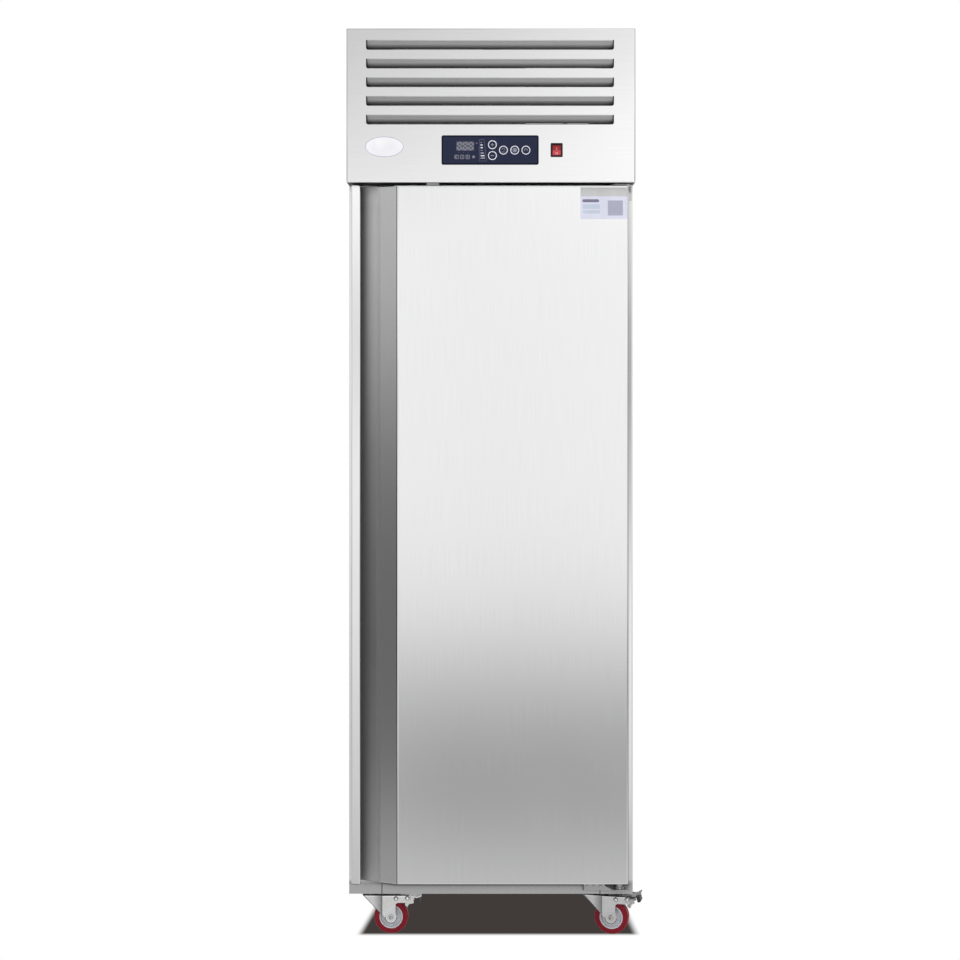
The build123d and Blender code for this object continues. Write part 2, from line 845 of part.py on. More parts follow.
# Round keys, each with a flange behind the panel wall and a stem to the board
key_wall_y = overlay_front_y + overlay_front_wall + running_gap
stem_end_y = board_y - key_travel - key_stem_gap
for key_name, (key_x, key_z) in key_places.items():
    with BuildPart() as key:
        with BuildSketch(Plane.XZ.offset(-key_wall_y)):
            with Locations((key_x, key_z)):
                Circle(key_radius)
        extrude(amount=key_wall_y - overlay_front_y + key_proud)
        fillet(faces().sort_by(Axis.Y)[0].edges(), key_edge)
        with BuildSketch(Plane.XZ.offset(-key_wall_y - key_flange)):
            with Locations((key_x, key_z)):
                Circle(key_flange_radius)
        extrude(amount=key_flange)
        with BuildSketch(Plane.XZ.offset(-stem_end_y)):
            with Locations((key_x, key_z)):
                Circle(key_stem_radius)
        extrude(amount=stem_end_y - key_wall_y)
    save(key.part, key_name)

# Circuit board behind the panel, with a display module and a terminal block
board_thickness = 1.6
board_width = 186
board_height = 42
display_place = (-54, 1727)
display_width = 42
display_height = 20
display_depth = 4
terminal_xs = (-50, 10)
terminal_width = 40
terminal_height = 18
terminal_depth = 10
with BuildPart() as controller_board:
    with BuildSketch(Plane.XZ.offset(-board_y - board_thickness)):
        with Locations((control_x, control_z)):
            Rectangle(board_width, board_height)
    extrude(amount=board_thickness)
    with BuildSketch(Plane.XZ.offset(-board_y)):
        with Locations(display_place):
            Rectangle(display_width, display_height)
    extrude(amount=display_depth)
    with BuildSketch(Plane.XZ.offset(-board_y - board_thickness - terminal_depth)):
        with Locations(*[(x, control_z) for x in terminal_xs]):
            Rectangle(terminal_width, terminal_height)
    extrude(amount=terminal_depth)
save(controller_board.part, "controller_board")

# Mains rocker switch: a dark bezel with its body, and the rocker in it
bezel_width = 26
bezel_height = 30
bezel_proud = 2.5
bezel_corner = 2
bezel_chamfer = 1
rocker_width = 17.5
rocker_half = 10.25
rocker_heel = 7.2
rocker_open_width = 18.3
rocker_open_height = 22.8
rocker_tilt = 7
rocker_pivot_y = -347
rocker_nose_y = front_y - 2
rocker_back_y = front_y + 6
rocker_pin = 1.2
rocker_pin_reach = 1.2
pin_hole_reach = 1.5
body_back_y = front_y + 20
body_floor = 3
rocker_pivot = (rocker_pivot_y, switch_z)
with BuildPart() as rocker_bezel:
    with BuildSketch(Plane.XZ.offset(-front_y)):
        with Locations((switch_x, switch_z)):
            RectangleRounded(bezel_width, bezel_height, bezel_corner)
    extrude(amount=bezel_proud)
    chamfer(faces().sort_by(Axis.Y)[0].outer_wire().edges(), bezel_chamfer)
    with BuildSketch(Plane.XZ.offset(-body_back_y)):
        with Locations((switch_x, switch_z)):
            Rectangle(switch_neck_width, switch_neck_height)
    extrude(amount=body_back_y - front_y)
    with BuildSketch(Plane.XZ.offset(-body_back_y + body_floor)):
        with Locations((switch_x, switch_z)):
            Rectangle(rocker_open_width, rocker_open_height)
    extrude(amount=body_back_y - front_y + bezel_proud, mode=Mode.SUBTRACT)
    with BuildSketch(Plane.YZ.offset(switch_x - rocker_open_width / 2 - pin_hole_reach)):
        with Locations(rocker_pivot):
            Circle(rocker_pin + running_gap)
    extrude(amount=rocker_open_width + 2 * pin_hole_reach, mode=Mode.SUBTRACT)
save(rocker_bezel.part, "rocker_bezel")

wing_y = rocker_nose_y - rocker_half * tan(radians(rocker_tilt))
rocker_outline = [
    (wing_y, switch_z + rocker_half),
    (rocker_nose_y, switch_z),
    (wing_y, switch_z - rocker_half),
    (rocker_back_y, switch_z - rocker_heel),
    (rocker_back_y, switch_z + rocker_heel),
]
with BuildPart() as rocker_button:
    with BuildSketch(Plane.YZ.offset(switch_x - rocker_width / 2)):
        with BuildLine():
            Polyline(*[turned(p, rocker_pivot, rocker_tilt) for p in rocker_outline], close=True)
        make_face()
    extrude(amount=rocker_width)
    with BuildSketch(Plane.YZ.offset(switch_x - rocker_open_width / 2 - rocker_pin_reach)):
        with Locations(rocker_pivot):
            Circle(rocker_pin)
    extrude(amount=rocker_open_width + 2 * rocker_pin_reach)
save(rocker_button.part, "rocker_button")

# Door switch below the bottom edge of the top unit
door_switch_place = (-125.5, -320)
door_switch_width = 27
door_switch_depth = 30
door_switch_drop = 3.6
door_switch_corner = 3
door_switch_edge = 0.8
with BuildPart() as door_switch:
    with BuildSketch(Plane.XY.offset(box_top)):
        with Locations(door_switch_place):
            RectangleRounded(door_switch_width, door_switch_depth, door_switch_corner)
    extrude(amount=-door_switch_drop)
    fillet(faces().sort_by(Axis.Z)[0].edges(), door_switch_edge)
save(door_switch.part, "door_switch")

# Door outline seen from above: front face, slanted grip face, grip floor, edges
grip_front_x = -201.5
grip_deep_x = -286
grip_floor_y = door_back_y - 12
lip_inner_x = -281.5
lip_hem = 10
lip_slope = 1.5
lip_corner = 7
door_edge_radius = 3
grip_fold_radius = 14
door_rim_radius = 2
door_outline = [
    (door_right, door_back_y),
    (door_right, door_front_y),
    (grip_front_x, door_front_y),
    (grip_deep_x, grip_floor_y),
    (door_left, grip_floor_y),
    (door_left, door_back_y),
]
door_corner_radii = [door_edge_radius, grip_fold_radius, door_edge_radius]


def door_section(inset):
    """The filled door outline seen from above, drawn in by an inset."""
    with BuildSketch() as section:
        with BuildLine():
            Polyline(*door_outline, close=True)
        make_face()
        for corner, radius in zip(door_outline[1:4], door_corner_radii):
            fillet(vertices().sort_by_distance(corner)[0], radius)
        if inset:
            offset(amount=-inset, mode=Mode.REPLACE)
    return section.sketch


def grip_lip():
    """The folded lip over the grip channel, with its inner corners rounded."""
    wall_x = door_left + sheet / 2
    edge_x = lip_inner_x - sheet / 2
    face_y = door_front_y + sheet / 2
    with BuildPart() as lip:
        with BuildSketch(Plane.XY.offset(door_bottom)):
            with BuildLine():
                FilletPolyline(
                    (wall_x, grip_floor_y + sheet),
                    (wall_x, face_y + lip_slope),
                    (edge_x, face_y),
                    (edge_x, door_front_y + lip_hem),
                    radius=bend_radius,
                )
            trace(line_width=sheet)
        extrude(amount=door_height)
        with BuildSketch(Plane.XZ.offset(-door_back_y)):
            with Locations(((door_left + lip_inner_x) / 2, door_middle_z)):
                Rectangle(lip_inner_x - door_left, door_height)
            fillet(vertices().group_by(Axis.X)[-1], lip_corner)
        extrude(amount=door_thickness, mode=Mode.INTERSECT)
    return lip.part


bush_radius = 9
bush_height = 14
dish_x = 238
dish_bottom = 202
dish_top = 1578
dish_y = -274
dish_radius = 20

# Outer skin: one folded sheet with its two end caps and the folded grip lip
with BuildPart() as door_outer_skin:
    with BuildSketch(Plane.XY.offset(door_bottom)):
        add(door_section(0))
    extrude(amount=door_height)
    for end_face in (faces().sort_by(Axis.Z)[0], faces().sort_by(Axis.Z)[-1]):
        fillet(end_face.edges().sort_by_distance((0, door_front_y, end_face.center().Z))[0], door_rim_radius)
    with BuildSketch(Plane.XZ.offset(-door_back_y)):
        with Locations((door_middle_x, door_middle_z)):
            Rectangle(door_right - door_left, door_height)
    extrude(amount=sheet, mode=Mode.SUBTRACT)
    with BuildSketch(Plane.XY.offset(door_bottom + sheet)):
        add(door_section(sheet))
    extrude(amount=door_height - 2 * sheet, mode=Mode.SUBTRACT)
    add(grip_lip())
    for cap_z in (door_bottom, door_top - sheet):
        with BuildSketch(Plane.XY.offset(cap_z)):
            with Locations((pivot_x, pivot_y)):
                Circle(bush_radius)
        extrude(amount=sheet, mode=Mode.SUBTRACT)
save(door_outer_skin.part, "door_outer_skin")

# Inner door panel: a sheet with a raised middle that reaches into the opening
dish_middle_z = (dish_bottom + dish_top) / 2
with BuildPart() as door_inner_panel:
    with BuildSketch(Plane.XZ.offset(-door_back_y)):
        with Locations((door_middle_x, door_middle_z)):
            Rectangle(door_right - door_left, door_height)
    extrude(amount=sheet)
    with BuildSketch(Plane.XZ.offset(-dish_y)):
        with Locations((0, dish_middle_z)):
            RectangleRounded(2 * dish_x, dish_top - dish_bottom, dish_radius)
    extrude(amount=dish_y - door_back_y)
    with BuildSketch(Plane.XZ.offset(-dish_y + sheet)):
        with Locations((0, dish_middle_z)):
            RectangleRounded(
                2 * (dish_x - sheet),
                dish_top - dish_bottom - 2 * sheet,
                dish_radius - sheet,
            )
    extrude(amount=dish_y - door_back_y, mode=Mode.SUBTRACT)
save(door_inner_panel.part, "door_inner_panel")

# Foam that fills the door between its skins
with BuildPart() as door_foam_core:
    with BuildSketch(Plane.XY.offset(door_bottom + sheet)):
        add(door_section(sheet))
    extrude(amount=door_height - 2 * sheet)
    with BuildSketch(Plane.XZ.offset(-dish_y + sheet)):
        with Locations((0, dish_middle_z)):
            RectangleRounded(
                2 * (dish_x - sheet),
                dish_top - dish_bottom - 2 * sheet,
                dish_radius - sheet,
            )
    extrude(amount=dish_y - door_back_y)
    for bush_z in (door_bottom, door_top - bush_height):
        with BuildSketch(Plane.XY.offset(bush_z)):
            with Locations((pivot_x, pivot_y)):
                Circle(bush_radius)
        extrude(amount=bush_height, mode=Mode.SUBTRACT)
save(door_foam_core.part, "door_foam_core")

# Magnetic gasket around the inner panel, with a bellows groove in its edge
gasket_half = 276
gasket_width = 17
gasket_bottom = 164
gasket_top = 1616
gasket_radius = 10
gasket_face_y = frame_y - 0.4
gasket_middle_z = (gasket_bottom + gasket_top) / 2
gasket_foot = 3
bellows_height = 2.4
bellows_bite = 3
magnet_y = door_back_y + gasket_foot + bellows_height
gasket_layers = [
    (door_back_y, gasket_foot, 0),
    (door_back_y + gasket_foot, bellows_height, bellows_bite),
    (magnet_y, gasket_face_y - magnet_y, 0),
]
with BuildPart() as door_gasket:
    for layer_y, layer_depth, layer_inset in gasket_layers:
        with BuildSketch(Plane.XZ.offset(-layer_y - layer_depth)):
            with Locations((0, gasket_middle_z)):
                RectangleRounded(
                    2 * (gasket_half - layer_inset),
                    gasket_top - gasket_bottom - 2 * layer_inset,
                    gasket_radius,
                )
                RectangleRounded(
                    2 * (gasket_half - gasket_width + layer_inset),
                    gasket_top - gasket_bottom - 2 * (gasket_width - layer_inset),
                    gasket_radius / 2,
                    mode=Mode.SUBTRACT,
                )
        extrude(amount=layer_depth)
save(door_gasket.part, "door_gasket")

# Plastic bushes in the door ends, which turn on the hinge pins, the lower one
# with a collar that carries the door
collar_radius = 7.3
collar_height = 5.5
with BuildPart() as door_hinge_bushes:
    for bush_z in (door_bottom, door_top - bush_height):
        with BuildSketch(Plane.XY.offset(bush_z)):
            with Locations((pivot_x, pivot_y)):
                Circle(bush_radius)
                Circle(pin_radius + running_gap, mode=Mode.SUBTRACT)
        extrude(amount=bush_height)
    with BuildSketch(Plane.XY.offset(door_bottom)):
        with Locations((pivot_x, pivot_y)):
            Circle(collar_radius)
            Circle(pin_radius + running_gap, mode=Mode.SUBTRACT)
    extrude(amount=-collar_height)
save(door_hinge_bushes.part, "door_hinge_bushes")

# Hinge brackets on the frame, each with its pin
arm_sheet = 3
arm_left = 247
arm_right = 300
arm_front_left = 266
arm_front_y = pivot_y - 15
pin_length = 12
washer_radius = 9.5
washer_thickness = 3.5
shoulder_radius = 7
bush_clearance = 0.3
lower_arm_top = door_bottom - 14
flange_left = 203
flange_drop = 14
screw_radius = 3.6
screw_head = 2
screw_xs = (210, 224, 239)
screw_z = lower_arm_top - 6
arm_corner = 7
nut_radius = 8.5
nut_length = 5


def arm_plate(level):
    """The horizontal arm of a hinge bracket, narrower and rounded in front."""
    with BuildPart() as arm:
        with BuildSketch(Plane.XY.offset(level)):
            with BuildLine():
                Polyline(
                    (arm_left, frame_y),
                    (arm_front_left, arm_front_y),
                    (arm_right, arm_front_y),
                    (arm_right, frame_y),
                    close=True,
                )
            make_face()
            fillet(vertices().group_by(Axis.Y)[0], arm_corner)
        extrude(amount=arm_sheet)
    return arm.part


with BuildPart() as lower_hinge:
    add(arm_plate(lower_arm_top - arm_sheet))
    with BuildSketch(Plane.XZ.offset(-frame_y)):
        with Locations(((flange_left + arm_right) / 2, lower_arm_top - flange_drop / 2)):
            Rectangle(arm_right - flange_left, flange_drop)
    extrude(amount=arm_sheet)
    with BuildSketch(Plane.XZ.offset(-frame_y + arm_sheet)):
        with Locations(*[(x, screw_z) for x in screw_xs]):
            Circle(screw_radius)
    extrude(amount=screw_head)
    with BuildSketch(Plane.XY.offset(lower_arm_top)):
        with Locations((pivot_x, pivot_y)):
            Circle(washer_radius)
    extrude(amount=washer_thickness)
    with BuildSketch(Plane.XY.offset(lower_arm_top)):
        with Locations((pivot_x, pivot_y)):
            Circle(shoulder_radius)
    extrude(amount=door_bottom - collar_height - bush_clearance - lower_arm_top)
    with BuildSketch(Plane.XY.offset(lower_arm_top)):
        with Locations((pivot_x, pivot_y)):
            Circle(pin_radius)
    extrude(amount=door_bottom + pin_length - lower_arm_top)
    with BuildSketch(Plane.XY.offset(lower_arm_top - arm_sheet)):
        with Locations((pivot_x, pivot_y)):
            RegularPolygon(nut_radius, 6)
    extrude(amount=-nut_length)
save(lower_hinge.part, "lower_hinge")

upper_arm_bottom = door_top + 1.4
tab_right = 308
tab_drop = 10
tab_front_y = frame_y - 12
ear_left = 290
ear_bottom = 1618
with BuildPart() as upper_hinge:
    add(arm_plate(upper_arm_bottom))
    with BuildSketch(Plane.XY.offset(upper_arm_bottom)):
        with Locations(((arm_right + tab_right) / 2, (frame_y + pivot_y) / 2)):
            Rectangle(tab_right - arm_right, frame_y - pivot_y)
    extrude(amount=arm_sheet)
    with BuildSketch(Plane.XZ.offset(-frame_y)):
        with Locations(((ear_left + tab_right) / 2, (ear_bottom + upper_arm_bottom) / 2)):
            Rectangle(tab_right - ear_left, upper_arm_bottom - ear_bottom)
    extrude(amount=arm_sheet)
    with BuildSketch(Plane.YZ.offset(tab_right - arm_sheet)):
        with Locations(((frame_y + tab_front_y) / 2, upper_arm_bottom - tab_drop / 2)):
            Rectangle(frame_y - tab_front_y, tab_drop)
    extrude(amount=arm_sheet)
    with BuildSketch(Plane.XY.offset(upper_arm_bottom)):
        with Locations((pivot_x, pivot_y)):
            Circle(pin_radius)
    extrude(amount=door_top - pin_length - upper_arm_bottom)
save(upper_hinge.part, "upper_hinge")

# Casters: swivel axis from the cabinet middle, and the way each wheel trails
caster_x = 245
caster_front_y = -218
caster_rear_y = 290
caster_places = {
    "front_left": (-caster_x, caster_front_y, 0),
    "front_right": (caster_x, caster_front_y, -13),
    "rear_left": (-caster_x, caster_rear_y, 180),
    "rear_right": (caster_x, caster_rear_y, 180),
}
pedal_lift = {"front_left": 0, "front_right": 16, "rear_left": 0, "rear_right": 0}
wheel_radius = 37.5
wheel_width = 24
core_radius = 26
trail = 24
axle_radius = 4
kingpin_radius = 5
cheek_inner = 14.5
cheek_sheet = 2.5
cheek_outer = cheek_inner + cheek_sheet
cheek_bend = 2.2
web_inset = 1.5
web_corner_x = -39
web_start_x = 2
web_end_x = 5
crown_top = 86.4
crown_sheet = 3
crown_front_x = 43
arm_end_x = 66
race_radius = 16.5
race_top = 96
plate_sheet = 2.5
plate_length = 92
plate_width = 68
bolt_spacing_x = 72
bolt_spacing_y = 48
rivet_places = [(35, 79), (60, 80)]
pedal_pivot = rivet_places[1]
rivet_radius = 3
rivet_head_radius = 4.4
rivet_head = 2
rivet_taper = 25
axle_nut_radius = 6.5
axle_nut = 4
race_taper = 8
race_gap = 0.3
plate_race_radius = 15.5
kingpin_head_radius = 8
kingpin_head = 4
kingpin_taper = 20
bolt_radius = 6.5
bolt_head = 5
plate_corner = 6


def caster_plane(place, level):
    """A level plane at a caster, with X the way its wheel trails."""
    x, y, turn = caster_places[place]
    return Plane(
        origin=(x, y, level),
        x_dir=(cos(radians(turn)), sin(radians(turn)), 0),
        z_dir=(0, 0, 1),
    )


def side_plane(place, aside):
    """A caster's side view plane, whose normal points to the caster's -Y."""
    base = caster_plane(place, 0)
    return Plane(origin=base.from_local_coords((0, aside, 0)), x_dir=base.x_dir, z_dir=-base.y_dir)


def cheek_profile():
    """The side plate of a fork: a slanted web, the axle end and the brake arm."""
    corner = (web_corner_x, crown_top)
    reach = (trail - corner[0], wheel_radius - corner[1])
    end_radius = 10
    neck_round = 6
    arm_round = 5
    arm_bottom = 69.5
    span = hypot(*reach)
    slope = atan2(reach[1], reach[0]) - asin(end_radius / span)
    run = sqrt(span**2 - end_radius**2)
    tangent = (corner[0] + run * cos(slope), corner[1] + run * sin(slope))
    neck = trail + end_radius
    with BuildSketch() as cheek:
        with BuildLine():
            Polyline(
                corner,
                (arm_end_x, crown_top),
                (arm_end_x, arm_bottom),
                (neck, arm_bottom),
                (neck, wheel_radius),
                (trail, wheel_radius),
                tangent,
                close=True,
            )
        make_face()
        with Locations((trail, wheel_radius)):
            Circle(end_radius)
        fillet(vertices().sort_by_distance((neck, arm_bottom))[0], neck_round)
        for arm_corner_z in (crown_top, arm_bottom):
            fillet(vertices().sort_by_distance((arm_end_x, arm_corner_z))[0], arm_round)
    return cheek.sketch


def fork_outline(inset):
    """The fork seen from above, drawn in at its sides, with the web pressed in."""
    side = cheek_outer - inset
    with BuildSketch() as outline:
        with BuildLine():
            Polyline(
                (web_corner_x, side - web_inset),
                (web_start_x, side - web_inset),
                (web_end_x, side),
                (arm_end_x, side),
                (arm_end_x, -side),
                (web_end_x, -side),
                (web_start_x, web_inset - side),
                (web_corner_x, web_inset - side),
                close=True,
            )
        make_face()
    return outline.sketch


def caster_fork(place):
    level = caster_plane(place, 0)
    with BuildPart() as fork:
        with BuildSketch(level):
            add(fork_outline(0))
        extrude(amount=crown_top)
        top_edges = faces().sort_by(Axis.Z)[-1].edges()
        fillet(top_edges.filter_by(lambda e: abs((e % 0).dot(level.y_dir)) < 0.9), cheek_bend)
        with BuildSketch(side_plane(place, cheek_outer)):
            add(cheek_profile())
        extrude(amount=2 * cheek_outer, mode=Mode.INTERSECT)
        with BuildSketch(level):
            add(fork_outline(cheek_sheet))
        extrude(amount=crown_top - crown_sheet, mode=Mode.SUBTRACT)
        with BuildSketch(caster_plane(place, crown_top)):
            with Locations(((crown_front_x + arm_end_x) / 2, 0)):
                Rectangle(arm_end_x - crown_front_x, 2 * cheek_inner)
        extrude(amount=-crown_top, mode=Mode.SUBTRACT)
        with BuildSketch(caster_plane(place, crown_top)):
            Circle(race_radius)
        extrude(amount=race_top - crown_top, taper=race_taper)
        with BuildSketch(caster_plane(place, crown_top - crown_sheet)):
            Circle(kingpin_radius + running_gap)
        extrude(amount=race_top - crown_top + crown_sheet, mode=Mode.SUBTRACT)
        for rivet_place in rivet_places:
            with BuildSketch(side_plane(place, cheek_outer)):
                with Locations(rivet_place):
                    Circle(rivet_radius)
            extrude(amount=2 * cheek_outer)
            for aside, push in ((cheek_outer, -1), (-cheek_outer, 1)):
                with BuildSketch(side_plane(place, aside)):
                    with Locations(rivet_place):
                        Circle(rivet_head_radius)
                extrude(amount=rivet_head * push, taper=rivet_taper)
        with BuildSketch(side_plane(place, cheek_outer)):
            with Locations((trail, wheel_radius)):
                Circle(axle_radius)
        extrude(amount=2 * cheek_outer)
        for aside, push in ((cheek_outer, -1), (-cheek_outer, 1)):
            with BuildSketch(side_plane(place, aside)):
                with Locations((trail, wheel_radius)):
                    RegularPolygon(axle_nut_radius, 6)
            extrude(amount=axle_nut * push)
    save(fork.part, f"{place}_fork")


def caster_wheel(place):
    rim_half = wheel_width / 2
    hub_radius = 11
    hub_half = cheek_inner - 1
    hub_foot = hub_radius + 2
    web_radius = 22
    web_half = 8.5
    rim_inner = web_radius + 1
    tread_round = 4
    wheel_plane = side_plane(place, 0)
    axle_axis = Axis(wheel_plane.from_local_coords((trail, wheel_radius, 0)), wheel_plane.z_dir)
    axle_plane = Plane(
        origin=wheel_plane.from_local_coords((trail, wheel_radius, 0)),
        x_dir=wheel_plane.x_dir,
        z_dir=wheel_plane.y_dir,
    )
    bore = axle_radius + running_gap
    with BuildPart() as core:
        with BuildSketch(axle_plane):
            with BuildLine():
                Polyline(
                    (bore, -hub_half),
                    (hub_radius, -hub_half),
                    (hub_foot, -web_half),
                    (web_radius, -web_half),
                    (rim_inner, -rim_half),
                    (core_radius, -rim_half),
                    (core_radius, rim_half),
                    (rim_inner, rim_half),
                    (web_radius, web_half),
                    (hub_foot, web_half),
                    (hub_radius, hub_half),
                    (bore, hub_half),
                    close=True,
                )
            make_face()
        revolve(axis=axle_axis)
    save(core.part, f"{place}_wheel_core")
    with BuildPart() as tread:
        with BuildSketch(axle_plane):
            with Locations(((core_radius + wheel_radius) / 2, 0)):
                Rectangle(wheel_radius - core_radius, wheel_width)
            fillet(vertices().group_by(Axis.X)[-1], tread_round)
        revolve(axis=axle_axis)
    save(tread.part, f"{place}_wheel_tread")


def caster_pedal(place):
    lift = pedal_lift[place]
    ear_sheet = 2.5
    ear_outer = cheek_inner - 0.5
    lever_sheet = 2.5
    tip_half = 19
    lever = [(53, 85.2), (66, 85.4), (81, 81.8), (91, 85.2)]
    tip = [(69, 84.7), (81, 81.8), (91, 85.2)]
    shoe_half = 9
    ear = [(53, 86.4), (73, 86.4), (74, 68), (64, 66), (55, 74)]
    shoe = [(57, 85.6), (66, 85.6), (64, 66), (60, 57.8), (54.8, 62.2)]
    with BuildPart() as pedal:
        with BuildSketch(side_plane(place, ear_outer)):
            with BuildLine():
                Polyline(*[turned(p, pedal_pivot, lift) for p in lever])
            trace(line_width=lever_sheet)
        extrude(amount=2 * ear_outer)
        with BuildSketch(side_plane(place, tip_half)):
            with BuildLine():
                Polyline(*[turned(p, pedal_pivot, lift) for p in tip])
            trace(line_width=lever_sheet)
        extrude(amount=2 * tip_half)
        for aside in (ear_outer, -ear_outer + ear_sheet):
            with BuildSketch(side_plane(place, aside)):
                with BuildLine():
                    Polyline(*[turned(p, pedal_pivot, lift) for p in ear], close=True)
                make_face()
            extrude(amount=ear_sheet)
        with BuildSketch(side_plane(place, shoe_half)):
            with BuildLine():
                Polyline(*[turned(p, pedal_pivot, lift) for p in shoe], close=True)
            make_face()
        extrude(amount=2 * shoe_half)
        with BuildSketch(side_plane(place, cheek_inner)):
            with Locations(pedal_pivot):
                Circle(rivet_radius + running_gap)
        extrude(amount=2 * cheek_inner, mode=Mode.SUBTRACT)
    save(pedal.part, f"{place}_brake_pedal")


for caster_name in caster_places:
    caster_fork(caster_name)
    caster_wheel(caster_name)
    caster_pedal(caster_name)

# Mounting plates of the casters, each with its fixed race, kingpin and bolts
plate_bottom = caster_height - plate_sheet
plate_race_bottom = race_top + race_gap
kingpin_bottom = crown_top - crown_sheet - race_gap
with BuildPart() as caster_plates:
    for plate_x, plate_y, wheel_turn in caster_places.values():
        with BuildSketch(Plane.XY.offset(plate_bottom)):
            with Locations((plate_x, plate_y)):
                RectangleRounded(plate_length, plate_width, plate_corner)
        extrude(amount=plate_sheet)
        with BuildSketch(Plane.XY.offset(plate_race_bottom)):
            with Locations((plate_x, plate_y)):
                Circle(plate_race_radius)
        extrude(amount=plate_bottom - plate_race_bottom)
        with BuildSketch(Plane.XY.offset(kingpin_bottom)):
            with Locations((plate_x, plate_y)):
                Circle(kingpin_radius)
        extrude(amount=plate_bottom - kingpin_bottom)
        with BuildSketch(Plane.XY.offset(kingpin_bottom)):
            with Locations((plate_x, plate_y)):
                Circle(kingpin_head_radius)
        extrude(amount=-kingpin_head, taper=kingpin_taper)
        with BuildSketch(Plane.XY.offset(plate_bottom)):
            with Locations((plate_x, plate_y)):
                with GridLocations(bolt_spacing_x, bolt_spacing_y, 2, 2):
                    RegularPolygon(bolt_radius, 6)
        extrude(amount=-bolt_head)
save(caster_plates.part, "caster_plates")
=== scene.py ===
import json
from math import atan2, cos, pi, radians, sin

import bmesh
import bpy
from mathutils import Matrix, Vector


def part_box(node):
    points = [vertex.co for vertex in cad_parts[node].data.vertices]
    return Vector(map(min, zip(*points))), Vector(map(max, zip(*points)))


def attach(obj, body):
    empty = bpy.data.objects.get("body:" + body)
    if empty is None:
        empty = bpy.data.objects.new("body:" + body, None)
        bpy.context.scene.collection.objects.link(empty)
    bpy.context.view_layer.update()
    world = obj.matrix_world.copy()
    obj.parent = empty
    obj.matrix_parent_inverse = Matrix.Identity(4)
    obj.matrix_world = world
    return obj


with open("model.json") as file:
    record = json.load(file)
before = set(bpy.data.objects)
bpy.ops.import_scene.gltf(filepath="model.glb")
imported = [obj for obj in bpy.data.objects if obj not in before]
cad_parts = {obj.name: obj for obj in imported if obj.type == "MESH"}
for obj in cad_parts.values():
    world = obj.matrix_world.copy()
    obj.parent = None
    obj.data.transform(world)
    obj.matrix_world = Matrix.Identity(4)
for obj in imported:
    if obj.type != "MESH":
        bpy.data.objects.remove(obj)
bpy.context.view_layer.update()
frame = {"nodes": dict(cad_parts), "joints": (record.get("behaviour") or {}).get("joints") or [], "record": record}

# Sizes in metres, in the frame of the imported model. The front faces -Y.
nodes = frame["nodes"]
slots = {part["node"]: part["material_slot"] for part in frame["record"]["subparts"]}
body_of_node = {
    node: body
    for body, members in frame["record"]["behaviour"]["bodies"].items()
    for node in members
}

# Places that the frame gives
panel_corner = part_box("top_front_panel")[0]
panel_front = panel_corner.y
panel_low = panel_corner.z
door_corner, door_far_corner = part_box("door_outer_skin")
door_front = door_corner.y
door_low = door_corner.z
door_high = door_far_corner.z
overlay_low, overlay_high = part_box("control_overlay")
overlay_front = overlay_low.y
rail_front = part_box("front_frame")[0].y
joint_places = {joint["name"]: Vector(joint["pos_m"]) for joint in frame["joints"] if "pos_m" in joint}
caster_names = ("front_left", "front_right", "rear_left", "rear_right")


def caster_frame(place):
    """From a caster's own axes, X the way its wheel trails and the origin on the floor."""
    swivel = joint_places[f"{place}_swivel_turn"]
    wheel = joint_places[f"{place}_wheel_spin"]
    turn = atan2(wheel.y - swivel.y, wheel.x - swivel.x)
    return Matrix.Translation((swivel.x, swivel.y, 0)) @ Matrix.Rotation(turn, 4, "Z")


# Node helpers. An owner is a material or the world.

def new_material(name, color, roughness, metallic=0.0, specular=0.5):
    """A material with its main shader's plain values set on the shader's own sockets."""
    material = bpy.data.materials.new(name)
    material.use_nodes = True
    shader = shader_of(material)
    shader.inputs["Base Color"].default_value = (*color, 1)
    shader.inputs["Roughness"].default_value = roughness
    shader.inputs["Metallic"].default_value = metallic
    shader.inputs["Specular IOR Level"].default_value = specular
    return material


def shader_of(material):
    return material.node_tree.nodes["Principled BSDF"]


def add_node(owner, kind, **settings):
    """A new node. Each setting is the value of an input or else of an attribute."""
    node = owner.node_tree.nodes.new(kind)
    for key, value in settings.items():
        if key in node.inputs:
            node.inputs[key].default_value = value
        else:
            setattr(node, key, value)
    return node


def link(owner, source, target):
    """Joins an output to an input, or sets the input to a plain number."""
    if isinstance(source, (int, float)):
        target.default_value = source
    else:
        owner.node_tree.links.new(source, target)


def calculate(owner, operation, *values):
    """One sum of numbers or outputs."""
    node = add_node(owner, "ShaderNodeMath", operation=operation)
    for value, socket in zip(values, node.inputs):
        link(owner, value, socket)
    return node.outputs[0]


def product(owner, first, *others):
    for other in others:
        first = calculate(owner, "MULTIPLY", first, other)
    return first


def invert(owner, share):
    return calculate(owner, "SUBTRACT", 1.0, share)


def blend(owner, share, low, high):
    """low where the share is 0, high where it is 1. Each is a number or an output."""
    mixed = add_node(owner, "ShaderNodeMix", data_type="FLOAT")
    for value, socket in ((share, "Factor"), (low, "A"), (high, "B")):
        link(owner, value, mixed.inputs[socket])
    return mixed.outputs["Result"]


def spread(owner, value, low, high, start=0.3, end=0.7, kind="LINEAR"):
    """Maps a value from start..end to low..high."""
    mapped = add_node(owner, "ShaderNodeMapRange", interpolation_type=kind)
    for socket, number in (("From Min", start), ("From Max", end), ("To Min", low), ("To Max", high)):
        mapped.inputs[socket].default_value = number
    link(owner, value, mapped.inputs["Value"])
    return mapped.outputs["Result"]


